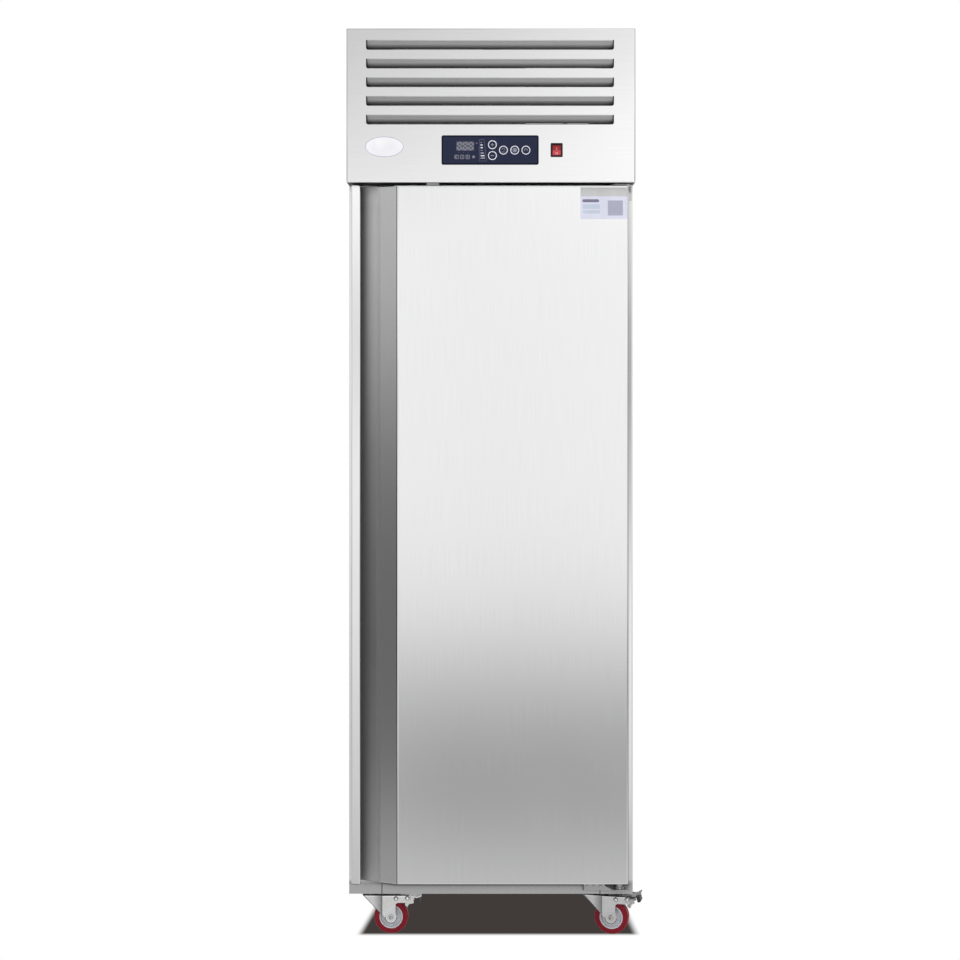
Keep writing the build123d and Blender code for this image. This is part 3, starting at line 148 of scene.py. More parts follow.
def steps(owner, value, points):
    """A curve through points, each a value from 0 to 1 and its level."""
    ramp = add_node(owner, "ShaderNodeValToRGB")
    stops = ramp.color_ramp.elements
    stops.remove(stops[-1])
    for index, (place, level) in enumerate(points):
        stop = stops[0] if index == 0 else stops.new(place)
        stop.position = place
        stop.color = (level, level, level, 1)
    link(owner, value, ramp.inputs["Fac"])
    return ramp.outputs["Color"]


def curve(owner, value, points):
    """A curve through points of value and level, and level beyond its ends."""
    low = points[0][0]
    high = points[-1][0]
    shares = [((place - low) / (high - low), level) for place, level in points]
    return steps(owner, spread(owner, value, 0.0, 1.0, low, high), shares)


def axis_parts(owner, vector):
    """The X, Y and Z parts of a vector."""
    parts = add_node(owner, "ShaderNodeSeparateXYZ")
    link(owner, vector, parts.inputs["Vector"])
    return parts.outputs


def own_place(material):
    """A place on the part in its own coordinates."""
    return add_node(material, "ShaderNodeTexCoord").outputs["Object"]


def along_axis(material, axis, low, high):
    """0 below low and 1 above high along one of the part's own axes."""
    return spread(material, axis_parts(material, own_place(material))[axis], 0.0, 1.0, low, high)


def behind(material, front, depths):
    """0 before the first depth behind a front, 1 past the second."""
    return along_axis(material, "Y", front + depths[0], front + depths[1])


def curve_along(material, axis, points):
    """A curve along one of the part's own axes, through points of place and level."""
    return curve(material, axis_parts(material, own_place(material))[axis], points)


def noise(material, scale, detail=3.0, stretch=(1, 1, 1)):
    """Noise in the part's own coordinates, stretched along its axes. Returns its value."""
    mapping = add_node(material, "ShaderNodeMapping")
    mapping.inputs["Scale"].default_value = stretch
    texture = add_node(material, "ShaderNodeTexNoise", Scale=scale, Detail=detail)
    link(material, own_place(material), mapping.inputs["Vector"])
    link(material, mapping.outputs["Vector"], texture.inputs["Vector"])
    return texture.outputs["Fac"]


def tint(material, value, dark, light, start=0.3, end=0.7):
    """Colours the surface from dark to light by a noise value."""
    ramp = add_node(material, "ShaderNodeValToRGB")
    for stop, place, color in zip(ramp.color_ramp.elements, (start, end), (dark, light)):
        stop.position = place
        stop.color = (*color, 1)
    link(material, value, ramp.inputs["Fac"])
    link(material, ramp.outputs["Color"], shader_of(material).inputs["Base Color"])


def roughen(material, value, low, high):
    link(material, spread(material, value, low, high), shader_of(material).inputs["Roughness"])


def emboss(material, value, distance, strength=1.0):
    """A bump of that height in metres."""
    bump = add_node(material, "ShaderNodeBump", Strength=strength, Distance=distance)
    link(material, value, bump.inputs["Height"])
    link(material, bump.outputs["Normal"], shader_of(material).inputs["Normal"])


def shade(color, factor):
    return tuple(min(1.0, part * factor) for part in color)


def dim(material, share):
    """Scales the base colour by a share."""
    target = shader_of(material).inputs["Base Color"]
    source = target.links[0].from_socket
    scaled = add_node(material, "ShaderNodeVectorMath", operation="SCALE")
    link(material, source, scaled.inputs[0])
    link(material, share, scaled.inputs["Scale"])
    link(material, scaled.outputs["Vector"], target)


def openness(material, reach):
    """How open a place is within that reach, 1 where nothing is near."""
    return add_node(material, "ShaderNodeAmbientOcclusion", Distance=reach, samples=8).outputs["AO"]


def set_matt(material, share):
    """Steel where the share is 0, a matt coat of its colour where it is 1."""
    link(material, invert(material, share), shader_of(material).inputs["Metallic"])


def paint_crevice_shade(material, reach, darkest=0.3):
    """Dims the base colour where other surfaces are near: painted shade."""
    dim(material, spread(material, openness(material, reach), darkest, 1.0, 0.2, 0.85))


# Materials

def brushed_steel(name, color, roughness, grain):
    """Sheet steel with a brushed grain along one axis and faint wiped marks."""
    material = new_material(name, color, roughness, metallic=1.0)
    streaks = noise(material, 1.0, detail=2.0, stretch=grain)
    marks = noise(material, 2.2, detail=2.0, stretch=(1.4, 1.4, 0.7))
    tint(material, streaks, shade(color, 0.965), shade(color, 1.02))
    roughen(material, marks, roughness * 0.92, roughness * 1.1)
    emboss(material, streaks, 0.00001, 0.25)
    return material


def outer_steel(name):
    """Steel that is matt deep in the door's grip, on the door's top rim and along the cabinet's sides, with
    painted shade in crevices, in the grip and on the door's foot, and a painted highlight on the top rim.
    """
    material = brushed_steel(name, STEEL, STEEL_ROUGHNESS, VERTICAL_GRAIN)
    crevices = spread(material, openness(material, CREVICE_REACH), 0.55, 1.0, 0.2, 0.85)
    behind_lip = behind(material, door_front, LIP_DEPTHS)
    in_grip = product(material, curve_along(material, "X", GRIP_MATT), behind_lip)
    in_shade = product(material, curve_along(material, "X", GRIP_FADE), behind_lip)
    reach = curve_along(material, "X", GRIP_REACH)
    grip_shade = blend(material, reach, GRIP_DARK, curve_along(material, "Z", GRIP_LEVELS))
    behind_rim = behind(material, door_front, RIM_DEPTHS)
    near_top = along_axis(material, "Z", *(door_high - fall for fall in TOP_RIM))
    top_rim = product(material, near_top, invert(material, behind_rim))
    off_foot = along_axis(material, "Z", *(door_low + rise for rise in LOW_RIM))
    share = blend(material, in_shade, crevices, grip_shade)
    share = blend(material, top_rim, share, RIM_HIGHLIGHT)
    dim(material, product(material, share, blend(material, off_foot, DEEP_SHADE, 1.0)))
    matt = calculate(material, "MAXIMUM", in_grip, top_rim)
    sides = product(material, along_axis(material, "Y", *SIDE_FADE), SIDE_MATT)
    matt = calculate(material, "MAXIMUM", matt, sides)
    set_matt(material, matt)
    return material


def frame_steel(name):
    """The frame's steel, with the door's shade painted on its rail, and painted light and shade on its strip
    beside the door.
    """
    material = brushed_steel(name, STEEL, 0.25, LEVEL_GRAIN)
    under_door = steps(material, openness(material, RAIL_REACH), RAIL_SHADE)
    height = along_axis(material, "Z", *RAIL_SPAN)
    to_door = calculate(material, "SUBTRACT", height, curve_along(material, "X", DOOR_FOOT))
    rail = product(material, under_door, curve(material, to_door, GAP_SHADE))
    strip_share = curve_along(material, "X", STRIP_SHARE)
    strip = blend(material, strip_share, 1.0, curve_along(material, "Z", STRIP_PAINTED_LEVELS))
    strip = product(material, strip, curve_along(material, "X", STRIP_EDGE_SHADE))
    dim(material, blend(material, along_axis(material, "Z", *RAIL_TOP), rail, strip))
    return material


def top_steel(name):
    """The top unit's steel: matt on the flaps behind its front with painted shade by depth, painted shade on its
    bends and under its foot, and a painted highlight along its foot.
    """
    material = brushed_steel(name, STEEL, STEEL_ROUGHNESS, LEVEL_GRAIN)
    depth = behind(material, panel_front, FLAP_DEPTHS)
    facing = axis_parts(material, add_node(material, "ShaderNodeNewGeometry").outputs["Normal"])
    outer = calculate(material, "MAXIMUM", calculate(material, "ABSOLUTE", facing["X"]), facing["Z"])
    turned_in = spread(material, outer, 1.0, 0.0, 0.3, 0.6)
    front_bend = invert(material, behind(material, panel_front, BEND_DEPTHS))
    bent_out = product(material, spread(material, outer, 0.0, 1.0, 0.05, 0.25), front_bend)
    bend_shade = blend(material, bent_out, 1.0, spread(material, facing["X"], *BEND_SHADE_LEVELS, -0.5, 0.5))
    facing_down = spread(material, facing["Z"], 1.0, 0.0, -0.3, -0.05)
    foot = product(material, above_foot(material, FOOT_SHARE), facing_down, front_bend)
    shaded = blend(material, steps(material, depth, FLAP_START), 1.0, above_foot(material, FOOT_SHADE))
    flaps = product(material, steps(material, depth, FLAP_SHADE), shaded)
    share = blend(material, turned_in, bend_shade, flaps)
    dim(material, blend(material, foot, share, RIM_HIGHLIGHT))
    inside = blend(material, turned_in, 0.0, steps(material, depth, FLAP_MATT))
    matt = calculate(material, "MAXIMUM", foot, inside)
    set_matt(material, matt)
    roughness = shader_of(material).inputs["Roughness"]
    link(material, blend(material, inside, roughness.links[0].from_socket, FLAP_ROUGHNESS), roughness)
    return material


def above_foot(material, points):
    """A curve by the height above the foot of the top unit's panel."""
    return curve_along(material, "Z", [(panel_low + rise, level) for rise, level in points])


def galvanised(name, color):
    """Zinc-coated sheet with its flat crystal pattern."""
    material = new_material(name, color, 0.42, metallic=1.0)
    cells = add_node(material, "ShaderNodeTexVoronoi", Scale=85.0)
    link(material, own_place(material), cells.inputs["Vector"])
    tint(material, cells.outputs["Color"], shade(color, 0.82), shade(color, 1.12), 0.1, 0.9)
    roughen(material, cells.outputs["Color"], 0.34, 0.5)
    return material


def zinc_plate(name, color):
    """Bright zinc plating with a slight blue and yellow cast, and painted shade in its crevices."""
    material = new_material(name, color, 0.3, metallic=1.0)
    cast = noise(material, 38.0, detail=4.0)
    tint(material, cast, (color[0], color[1] * 0.985, color[2] * 0.94), shade(color, 1.06))
    roughen(material, noise(material, 160.0, detail=3.0), 0.24, 0.38)
    emboss(material, noise(material, 420.0, detail=2.0), 0.00003, 0.2)
    paint_crevice_shade(material, CREVICE_REACH / 2)
    return material


def fork_zinc(name, place):
    """A fork's plating, with painted shade round the race above it, a painted highlight along the top edge below
    the race, and painted shade toward the step in its side plates.
    """
    material = zinc_plate(name, ZINC)
    home = caster_frame(place)
    along = home.to_3x3() @ Vector((1, 0, 0))
    projected = add_node(material, "ShaderNodeVectorMath", operation="DOT_PRODUCT")
    link(material, own_place(material), projected.inputs[0])
    projected.inputs[1].default_value = along
    middle = home.translation.dot(along)
    reach = spread(material, projected.outputs["Value"], 0.0, 1.0, middle - FORK_REACH, middle + FORK_REACH)
    dim(material, steps(material, reach, WEB_SHADE))
    dim(material, curve_along(material, "Z", CROWN_LIGHT_AND_SHADE))
    return material


def plastic(name, color, roughness, specular=0.5, texture_scale=900.0, depth=0.00003):
    """Moulded plastic with a fine eroded texture."""
    material = new_material(name, color, roughness, specular=specular)
    texture = noise(material, texture_scale, detail=2.0)
    tint(material, noise(material, 24.0, detail=3.0), shade(color, 0.94), shade(color, 1.05))
    roughen(material, texture, roughness * 0.9, roughness * 1.12)
    emboss(material, texture, depth, 0.4)
    return material


def rubber(name, color, roughness, specular=0.5):
    """Rubber with a soft, slightly dusty surface."""
    material = new_material(name, color, roughness, specular=specular)
    dust = noise(material, 70.0, detail=5.0)
    tint(material, dust, shade(color, 0.86), shade(color, 1.14))
    roughen(material, dust, roughness * 0.88, min(1.0, roughness * 1.12))
    emboss(material, noise(material, 1400.0, detail=2.0), 0.00004, 0.4)
    return material


def foam(name, color):
    material = new_material(name, color, 0.95)
    pores = add_node(material, "ShaderNodeTexVoronoi", Scale=700.0)
    link(material, own_place(material), pores.inputs["Vector"])
    tint(material, pores.outputs["Distance"], shade(color, 0.72), color, 0.0, 0.5)
    emboss(material, pores.outputs["Distance"], 0.0006, 0.8)
    return material


def painted(name, color, roughness):
    """Baked paint with a slight orange peel."""
    material = new_material(name, color, roughness)
    tint(material, noise(material, 12.0, detail=4.0), shade(color, 0.85), shade(color, 1.2))
    roughen(material, noise(material, 40.0), roughness * 0.85, roughness * 1.2)
    emboss(material, noise(material, 320.0, detail=2.0), 0.00008, 0.35)
    return material


def wheel_paint(name, color, roughness):
    """Paint with painted shade in the hollows of a wheel."""
    material = painted(name, color, roughness)
    paint_crevice_shade(material, CREVICE_REACH / 2)
    return material


def light_and_shade_halves(name, lower, upper, middle_z):
    """A glossy finish with one colour below a height and another above it: painted light and shade on one
    material.
    """
    material = new_material(name, upper, 0.25)
    tint(material, along_axis(material, "Z", middle_z - 0.0008, middle_z + 0.0008), lower, upper, 0.0, 1.0)
    roughen(material, noise(material, 500.0), 0.2, 0.3)
    return material


def circuit_board(name, color):
    """Green solder mask with copper tracks below it."""
    material = new_material(name, color, 0.35)
    tracks = add_node(material, "ShaderNodeTexBrick", Scale=90.0)
    tracks.inputs["Mortar Size"].default_value = 0.08
    link(material, own_place(material), tracks.inputs["Vector"])
    tint(material, tracks.outputs["Fac"], color, shade(color, 2.2), 0.2, 0.8)
    return material


VERTICAL_GRAIN = (1500, 1500, 9)
LEVEL_GRAIN = (9, 1500, 1500)
NAVY = (0.006, 0.010, 0.040)
STEEL = (0.80, 0.80, 0.805)
STEEL_ROUGHNESS = 0.115
ZINC = (0.74, 0.745, 0.765)
CREVICE_REACH = 0.02
RAIL_REACH = 0.06
# Painted shade at the feet of the door and the top unit, and a painted highlight on the door's top rim and the top
# unit's foot
DEEP_SHADE = 0.12
RIM_HIGHLIGHT = 1.25
# Where the cabinet's sides turn matt behind the front, and how much
SIDE_FADE = (-0.262, -0.222)
SIDE_MATT = 0.6
# The rail: its height, where it meets the strips, and its shade by how open a place is
RAIL_SPAN = (0.100, 0.140)
RAIL_TOP = (0.124, 0.134)
RAIL_SHADE = [(0.0, 0.1), (0.6, 0.14), (0.66, 0.38), (0.71, 0.56), (0.79, 0.62), (0.97, 0.66)]
# The door's foot in shares of the rail's height, by X, and the rail's shade by the distance below it
DOOR_FOOT = [
    (-0.310, 0.68), (-0.2835, 0.68), (-0.2830, 0.775),
    (-0.2076, 0.56), (0.2965, 0.56), (0.2975, 1.0),
]
GAP_SHADE = [
    (-0.165, 1.0), (-0.132, 0.94), (-0.09075, 0.87),
    (-0.0627, 0.74), (-0.0462, 0.48), (0.0, 0.3),
]
# The strip to the right of the door: its share by X, its painted light and shade by height, and the painted shade
# line beside the door
STRIP_SHARE = [(0.290, 0.0), (0.2901, 1.0), (0.3062, 1.0), (0.3085, 0.15), (0.310, 0.0)]
STRIP_EDGE_SHADE = [(0.200, 1.0), (0.290, 1.0), (0.2955, 0.6), (0.3010, 0.6), (0.3022, 1.0)]
STRIP_PAINTED_LEVELS = [
    (0.198, 0.92), (0.307, 1.15), (0.416, 1.25), (0.635, 1.25), (0.744, 1.15),
    (0.854, 0.95), (0.963, 0.76), (1.072, 0.65), (1.182, 0.54), (1.269, 0.53),
    (1.357, 0.57), (1.444, 0.69), (1.606, 0.86),
]
# The top unit: how deep its flaps and its bends reach, and the painted shade levels there
FLAP_DEPTHS = (0.0002, 0.0172)
FLAP_START = [(0.0, 0.0), (0.15, 1.0)]
FLAP_MATT = [(0.0, 0.0), (0.06, 1.0)]
FLAP_ROUGHNESS = 0.5
FLAP_SHADE = [
    (0.0, 1.0), (0.03, 0.6), (0.08, 0.42), (0.18, 0.52), (0.30, 0.58),
    (0.42, 0.45), (0.6, 0.36), (0.75, 0.27), (0.86, 0.33), (0.95, 0.05),
]
BEND_DEPTHS = (0.003, 0.004)
BEND_SHADE_LEVELS = (0.35, 0.2)
FOOT_SHARE = [(0.0, 1.0), (0.0026, 1.0), (0.0032, 0.0)]
FOOT_SHADE = [(0.0, DEEP_SHADE), (0.002, DEEP_SHADE), (0.0032, 1.0)]
# The door's rims: how deep the top one reaches, and where each fades; the top rim has a painted highlight and the
# foot painted shade
RIM_DEPTHS = (0.003, 0.005)
TOP_RIM = (0.0024, 0.0012)
LOW_RIM = (0.0006, 0.0018)
# The grip channel's slanted side: where it is matt, how far it opens, and its painted shade levels by height
LIP_DEPTHS = (0.0105, 0.0125)
GRIP_MATT = [(-0.310, 0.0), (-0.295, 1.0), (-0.250, 1.0), (-0.238, 0.0)]
GRIP_FADE = [
    (-0.310, 0.0), (-0.295, 1.0), (-0.250, 1.0), (-0.244, 0.8),
    (-0.241, 0.6), (-0.2392, 0.35), (-0.238, 0.0),
]
GRIP_REACH = [(-0.281, 0.0), (-0.2764, 0.2), (-0.272, 0.5), (-0.2673, 0.8), (-0.2628, 0.95), (-0.256, 1.0)]
GRIP_DARK = 0.21
GRIP_LEVELS = [
    (0.138, 0.48), (0.204, 0.38), (0.420, 0.23), (0.635, 0.18), (0.850, 0.205),
    (1.066, 0.275), (1.281, 0.44), (1.497, 0.59), (1.600, 0.63), (1.645, 0.95),
]
# A fork's painted highlight and shade by height, and its painted shade along its side plates
CROWN_LIGHT_AND_SHADE = [(0.0800, 1.0), (0.0826, 1.0), (0.0834, 1.3), (0.0846, 1.3), (0.0853, 0.08), (0.0960, 0.05)]
FORK_REACH = 0.04
WEB_SHADE = [(0.0, 1.0), (0.3, 0.95), (0.52, 0.45), (0.54, 0.45), (0.57, 1.0)]
ROCKER_MIDDLE = 1.7184
PEDAL_CROSSING = 0.0812

# Each finish: how it is made, its name, and its colour and other values
finishes = (
    (outer_steel, "stainless_skin"),
    (top_steel, "stainless_level"),
    (frame_steel, "stainless_frame"),
    (brushed_steel, "stainless_inner", (0.74, 0.75, 0.76), 0.3, VERTICAL_GRAIN),
    (galvanised, "galvanised_back", (0.62, 0.64, 0.65)),
    (galvanised, "coil_aluminium", (0.75, 0.76, 0.77)),
    (foam, "foam", (0.9, 0.84, 0.62)),
    (rubber, "gasket_rubber", (0.42, 0.43, 0.44), 0.6),
    (rubber, "red_tread", (0.26, 0.010, 0.023), 0.5, 0.2),
    (painted, "shelf_wire", (0.82, 0.83, 0.83), 0.3),
    (painted, "motor_black", (0.03, 0.03, 0.032), 0.38),
    (painted, "rail_line", (0.13, 0.13, 0.135), 0.4),
    # Pale paint for the upper hinge's zinc: painted light
    (painted, "hinge_light", (0.85, 0.85, 0.86), 0.3),
    (wheel_paint, "wheel_silver", (0.62, 0.63, 0.67), 0.32),
    (zinc_plate, "zinc_plate", ZINC),
    # Darker copies of zinc for the caster plates, the shade lines on the forks, the rings round the rivets, the
    # lower hinge and the axle caps: painted shade
    (zinc_plate, "zinc_dull", (0.07, 0.07, 0.075)),
    (zinc_plate, "rivet_line", (0.25, 0.25, 0.26)),
    (zinc_plate, "hinge_zinc", (0.4, 0.4, 0.41)),
    (zinc_plate, "copper", (0.8, 0.45, 0.3)),
    # The rocker lighter below and darker above, and the raised pedal pale below and dark above: painted light and
    # shade
    (light_and_shade_halves, "red_rocker", (0.57, 0.05, 0.065), (0.31, 0.008, 0.015), ROCKER_MIDDLE),
    (light_and_shade_halves, "raised_pedal", (0.55, 0.55, 0.56), (0.05, 0.048, 0.047), PEDAL_CROSSING),
    (circuit_board, "circuit_green", (0.03, 0.2, 0.08)),
    (plastic, "navy_panel", NAVY, 0.34, 0.3, 1500.0, 0.000015),
    (plastic, "key_plastic", NAVY, 0.3, 0.3, 1500.0, 0.000015),
    (plastic, "black_plastic", (0.02, 0.008, 0.009), 0.45, 0.3),
    (plastic, "white_plastic", (0.85, 0.85, 0.83), 0.45),
    (plastic, "fan_plastic", (0.05, 0.05, 0.055), 0.42),
    (plastic, "grey_plastic", (0.6, 0.61, 0.62), 0.4),
    (plastic, "lamp_lens", (0.9, 0.91, 0.93), 0.25),
    (plastic, "badge_white", (0.9, 0.9, 0.93), 0.3),
    (plastic, "badge_border", (0.33, 0.3, 0.5), 0.35),
    (plastic, "label_grey", (0.6, 0.6, 0.605), 0.5),
    (plastic, "label_lavender", (0.73, 0.74, 0.87), 0.5),
    (plastic, "label_field", (0.42, 0.43, 0.54), 0.5),
    (plastic, "label_slate", (0.2, 0.19, 0.28), 0.5),
    (plastic, "label_blue", (0.57, 0.63, 0.75), 0.5),
    (plastic, "print_white", (0.82, 0.84, 0.93), 0.4),
    (plastic, "print_mid", (0.36, 0.37, 0.45), 0.4),
    (plastic, "print_dim", (0.19, 0.19, 0.235), 0.4),
    (plastic, "print_faint", (0.09, 0.1, 0.15), 0.4),
    (plastic, "print_dark", (0.002, 0.002, 0.003), 0.6, 0.1),
    (plastic, "window_dark", (0.075, 0.08, 0.115), 0.15),
    (plastic, "print_pink", (0.75, 0.3, 0.3), 0.3),
)
materials = {name: make(name, *values) for make, name, *values in finishes}

# Nodes with a finish of their own
special_finish = {
    "top_front_panel": "stainless_level",
    "front_frame": "stainless_frame",
    "front_right_brake_pedal": "raised_pedal",
    "caster_plates": "zinc_dull",
    "lower_hinge": "hinge_zinc",
    "upper_hinge": "hinge_light",
}
for caster_name in caster_names:
    fork_name = f"{caster_name}_fork"
    materials[fork_name] = fork_zinc(f"{fork_name}_zinc", caster_name)
    special_finish[fork_name] = fork_name


# Mesh helpers

CORNERS = ((-1, -1), (1, -1), (1, 1), (-1, 1))


def piece_from(name, fill, finish, body, home=None):
    """A new piece from a function that fills a bmesh, put in its home. It rides on its body."""
    mesh = bpy.data.meshes.new(name)
    shape = bmesh.new()
    fill(shape)
    if home is not None:
        shape.transform(home)
    bmesh.ops.recalc_face_normals(shape, faces=shape.faces)
    shape.to_mesh(mesh)
    shape.free()
    mesh.materials.append(materials[finish])
    piece = bpy.data.objects.new(name, mesh)
    bpy.context.scene.collection.objects.link(piece)
    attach(piece, body)
    return piece


def outline_at(shape, points, y):
    """An outline's corners, all at that Y."""
    return [shape.verts.new((x, y, z)) for x, z in points]


def join_loops(shape, first, second):
    """Faces between two loops with the same number of corners."""
    count = len(first)
    for i in range(count):
        j = (i + 1) % count
        shape.faces.new((first[i], second[i], second[j], first[j]))


def close_plate(shape, front, back):
    """A plate between a front and a back loop."""
    shape.faces.new(front)
    shape.faces.new(list(reversed(back)))
    join_loops(shape, front, back)


def close_dome(shape, loops, top):
    """A dome from its widest loop to the corner on its top."""
    for wide, narrow in zip(loops, loops[1:]):
        join_loops(shape, wide, narrow)
    last = loops[-1]
    for i in range(len(last)):
        shape.faces.new((last[i], last[(i + 1) % len(last)], top))


def extrude_outline(shape, points, front_y, back_y):
    """A plate with its outline in X and Z, from front_y to back_y."""
    close_plate(shape, outline_at(shape, points, front_y), outline_at(shape, points, back_y))


def extrude_ring(shape, outer, inner, front_y, back_y):
    """A flat ring between two outlines with the same number of points."""
    sides = ((outer, front_y), (inner, front_y), (inner, back_y), (outer, back_y))
    loops = [outline_at(shape, points, y) for points, y in sides]
    for k in range(len(loops)):
        join_loops(shape, loops[k], loops[(k + 1) % len(loops)])


def ellipse(center, half_x, half_z, count=64):
    angles = [2 * pi * i / count for i in range(count)]
    return [(center[0] + half_x * cos(a), center[1] + half_z * sin(a)) for a in angles]


def rounded_box(center, half_x, half_z, radius, steps=6):
    """The outline of a rounded rectangle, anticlockwise."""
    points = []
    for corner, (side_x, side_z) in enumerate(((1, 1), (-1, 1), (-1, -1), (1, -1))):
        cx = center[0] + side_x * (half_x - radius)
        cz = center[1] + side_z * (half_z - radius)
        for step in range(steps + 1):
            angle = (corner + step / steps) * pi / 2
            points.append((cx + radius * cos(angle), cz + radius * sin(angle)))
    return points


def rounded_ring(center, half_x, half_z, radius, line):
    """The two outlines of a rounded frame with that line width."""
    outer = rounded_box(center, half_x, half_z, radius)
    return outer, rounded_box(center, half_x - line, half_z - line, radius - line)


def oval_ring(center, half_x, half_z, line):
    """The two outlines of an oval ring with that line width."""
    return ellipse(center, half_x, half_z), ellipse(center, half_x - line, half_z - line)


def soften(piece, width, segments=2, angle=30):
    """Rounds the hard edges of a piece or a CAD node."""
    weld = piece.modifiers.new("weld", "WELD")
    weld.merge_threshold = 0.000002
    bevel = piece.modifiers.new("bevel", "BEVEL")
    bevel.width = width
    bevel.segments = segments
    bevel.limit_method = "ANGLE"
    bevel.angle_limit = radians(angle)
    bevel.harden_normals = True


def print_plate(name, outlines, finish, body, front_y, height=0.0001):
    """Printing or thin trim on a front face: one plate for each outline."""
    def fill(shape):
        for points in outlines:
            extrude_outline(shape, points, front_y - height, front_y)
    return piece_from(name, fill, finish, body)


def ring_plate(name, outlines, finish, body, front_y, height=0.0001):
    """A thin ring on a front face, between an outer and an inner outline."""
    outer, inner = outlines

    def fill(shape):
        extrude_ring(shape, outer, inner, front_y - height, front_y)
    return piece_from(name, fill, finish, body)


def front_at(node_name, x, z):
    """Where a node's flat front faces lie at that X and Z."""
    mesh = nodes[node_name].data
    found = []
    for face in mesh.polygons:
        if face.normal.y > -0.5:
            continue
        corners = [mesh.vertices[v].co for v in face.vertices]
        heights = [corner.z for corner in corners]
        if min(heights) <= z <= max(heights):
            offset = (corners[0] - Vector((x, 0, z))).dot(face.normal)
            found.append(offset / face.normal.y)
    return min(found)


def print_on(name, outlines, finish, node_name, height=0.0001):
    """Printing that follows the slope of a node's front."""
    rise = 0.0002

    def fill(shape):
        for points in outlines:
            mid_z = sum(z for x, z in points) / len(points)
            base = front_at(node_name, points[0][0], mid_z)
            slope = (front_at(node_name, points[0][0], mid_z + rise) - base) / rise
            sloped = [(x, base + slope * (z - mid_z), z) for x, z in points]
            front = [shape.verts.new((x, y - height, z)) for x, y, z in sloped]
            back = [shape.verts.new(corner) for corner in sloped]
            close_plate(shape, front, back)
    return piece_from(name, fill, finish, body_of_node[node_name])


def bar(x, z, width, height):
    """A small rectangle's outline."""
    return [(x + side * width / 2, z + level * height / 2) for side, level in CORNERS]


# CAD nodes get their finish by slot

for node_name, node_object in nodes.items():
    finish = special_finish.get(node_name, slots[node_name])
    node_object.data.materials.clear()
    node_object.data.materials.append(materials[finish])

for node_name in ("top_front_panel", "door_outer_skin", "front_frame", "lower_hinge", "upper_hinge"):
    soften(nodes[node_name], 0.0004)
for node_name in ("control_overlay", "rocker_bezel", "rocker_button", "machine_cover"):
    soften(nodes[node_name], 0.0003)
for node_name in nodes:
    if node_name.endswith(("_fork", "_brake_pedal")):
        soften(nodes[node_name], 0.0008, 3)
    if node_name.endswith("_wheel_core"):
        soften(nodes[node_name], 0.0006, 3)


# Badge plate on the top unit: a shallow oval dome with a border

badge_center = (-0.2288, 1.726)
badge_half_x = 0.0405
badge_half_z = 0.0213
badge_height = 0.0008
badge_step = 0.0003
badge_rim = 0.0007


def badge_dome(shape):
    rings = 5
    loops = []
    for ring in range(rings):
        share = 1 - ring / rings
        height = badge_height * (1 - share**2) + badge_step
        outline = ellipse(badge_center, badge_half_x * share, badge_half_z * share)
        loops.append(outline_at(shape, outline, panel_front - height))
    top = shape.verts.new((badge_center[0], panel_front - badge_height - badge_step, badge_center[1]))
    close_dome(shape, loops, top)


badge = piece_from("badge_plate", badge_dome, "badge_white", "cabinet")
for face in badge.data.polygons:
    face.use_smooth = True
rim_outlines = oval_ring(badge_center, badge_half_x + badge_rim / 2, badge_half_z + badge_rim / 2, badge_rim)
ring_plate("badge_rim", rim_outlines, "badge_border", "cabinet", panel_front, 0.0006)

# Plain label on the door: a card with a header band, a title strip, two text fields and a square

label_center = (0.2436, 1.6064)
label_half_x = 0.0505
label_half_z = 0.0340
header_height = 0.0190
label_sheet = 0.0002
label_ink = 0.0001


def label_plate(name, outlines, finish, front_y, height):
    print_plate(name, outlines, finish, "door", front_y, height)


def label():
    center_x, center_z = label_center
    header_z = center_z + label_half_z - header_height / 2
    card = rounded_box(label_center, label_half_x, label_half_z, 0.001)
    header = rounded_box((center_x, header_z), label_half_x, header_height / 2, 0.001)
    strip = rounded_box((0.2151, 1.6118), 0.0181, 0.0033, 0.0032)
    fields = [bar(0.2165, z, 0.0366, height) for z, height in ((1.5993, 0.0095), (1.5880, 0.0065))]
    square = rounded_box((0.2681, 1.5963), 0.0162, 0.0162, 0.0012)
    label_plate("label_card", [card], "label_lavender", door_front, label_sheet)
    for part, outlines, finish in (
        ("header", [header], "label_grey"),
        ("strip", [strip], "label_slate"),
        ("fields", fields, "label_blue"),
        ("square", [square], "label_field"),
    ):
        label_plate(f"label_{part}", outlines, finish, door_front - label_sheet, label_ink)


label()

# Printing on the control panel

digit_height = 0.0182
digit_width = 0.0112
digit_line = 0.0033
digit_lean = 0.0009


def seven_segments(center_x, center_z):
    """The seven bars of one digit, all present and unlit."""
    half_w = digit_width / 2
    half_h = digit_height / 2
    gap = 0.0003
    outlines = []
    for level in (-1, 0, 1):
        z = center_z + level * (half_h - digit_line / 2)
        x = center_x + digit_lean * level
        outlines.append(bar(x, z, digit_width - 2 * digit_line, digit_line))
    for side in (-1, 1):
        for level in (-1, 1):
            z = center_z + level * half_h / 2
            x = center_x + side * (half_w - digit_line / 2) + digit_lean * level / 2
            outlines.append(bar(x, z, digit_line, half_h - digit_line - gap))
    return outlines


def square_lines(x, z, half, line):
    """Four thin bars around a square."""
    level = [bar(x, z + side * half, 2 * half, line) for side in (-1, 1)]
    upright = [bar(x + side * half, z, line, 2 * half) for side in (-1, 1)]
    return level + upright


def panel_print(name, outlines, finish, height=0.0001):
    print_plate(name, outlines, finish, "cabinet", overlay_front, height)


def overlay_edge():
    """A darker line around the overlay."""
    inset = 0.0006
    middle = ((overlay_low.x + overlay_high.x) / 2, (overlay_low.z + overlay_high.z) / 2)
    half_x = (overlay_high.x - overlay_low.x) / 2 - inset
    half_z = (overlay_high.z - overlay_low.z) / 2 - inset
    edge = rounded_ring(middle, half_x, half_z, 0.003, 0.0022)
    ring_plate("overlay_edge", edge, "print_dark", "cabinet", overlay_front)


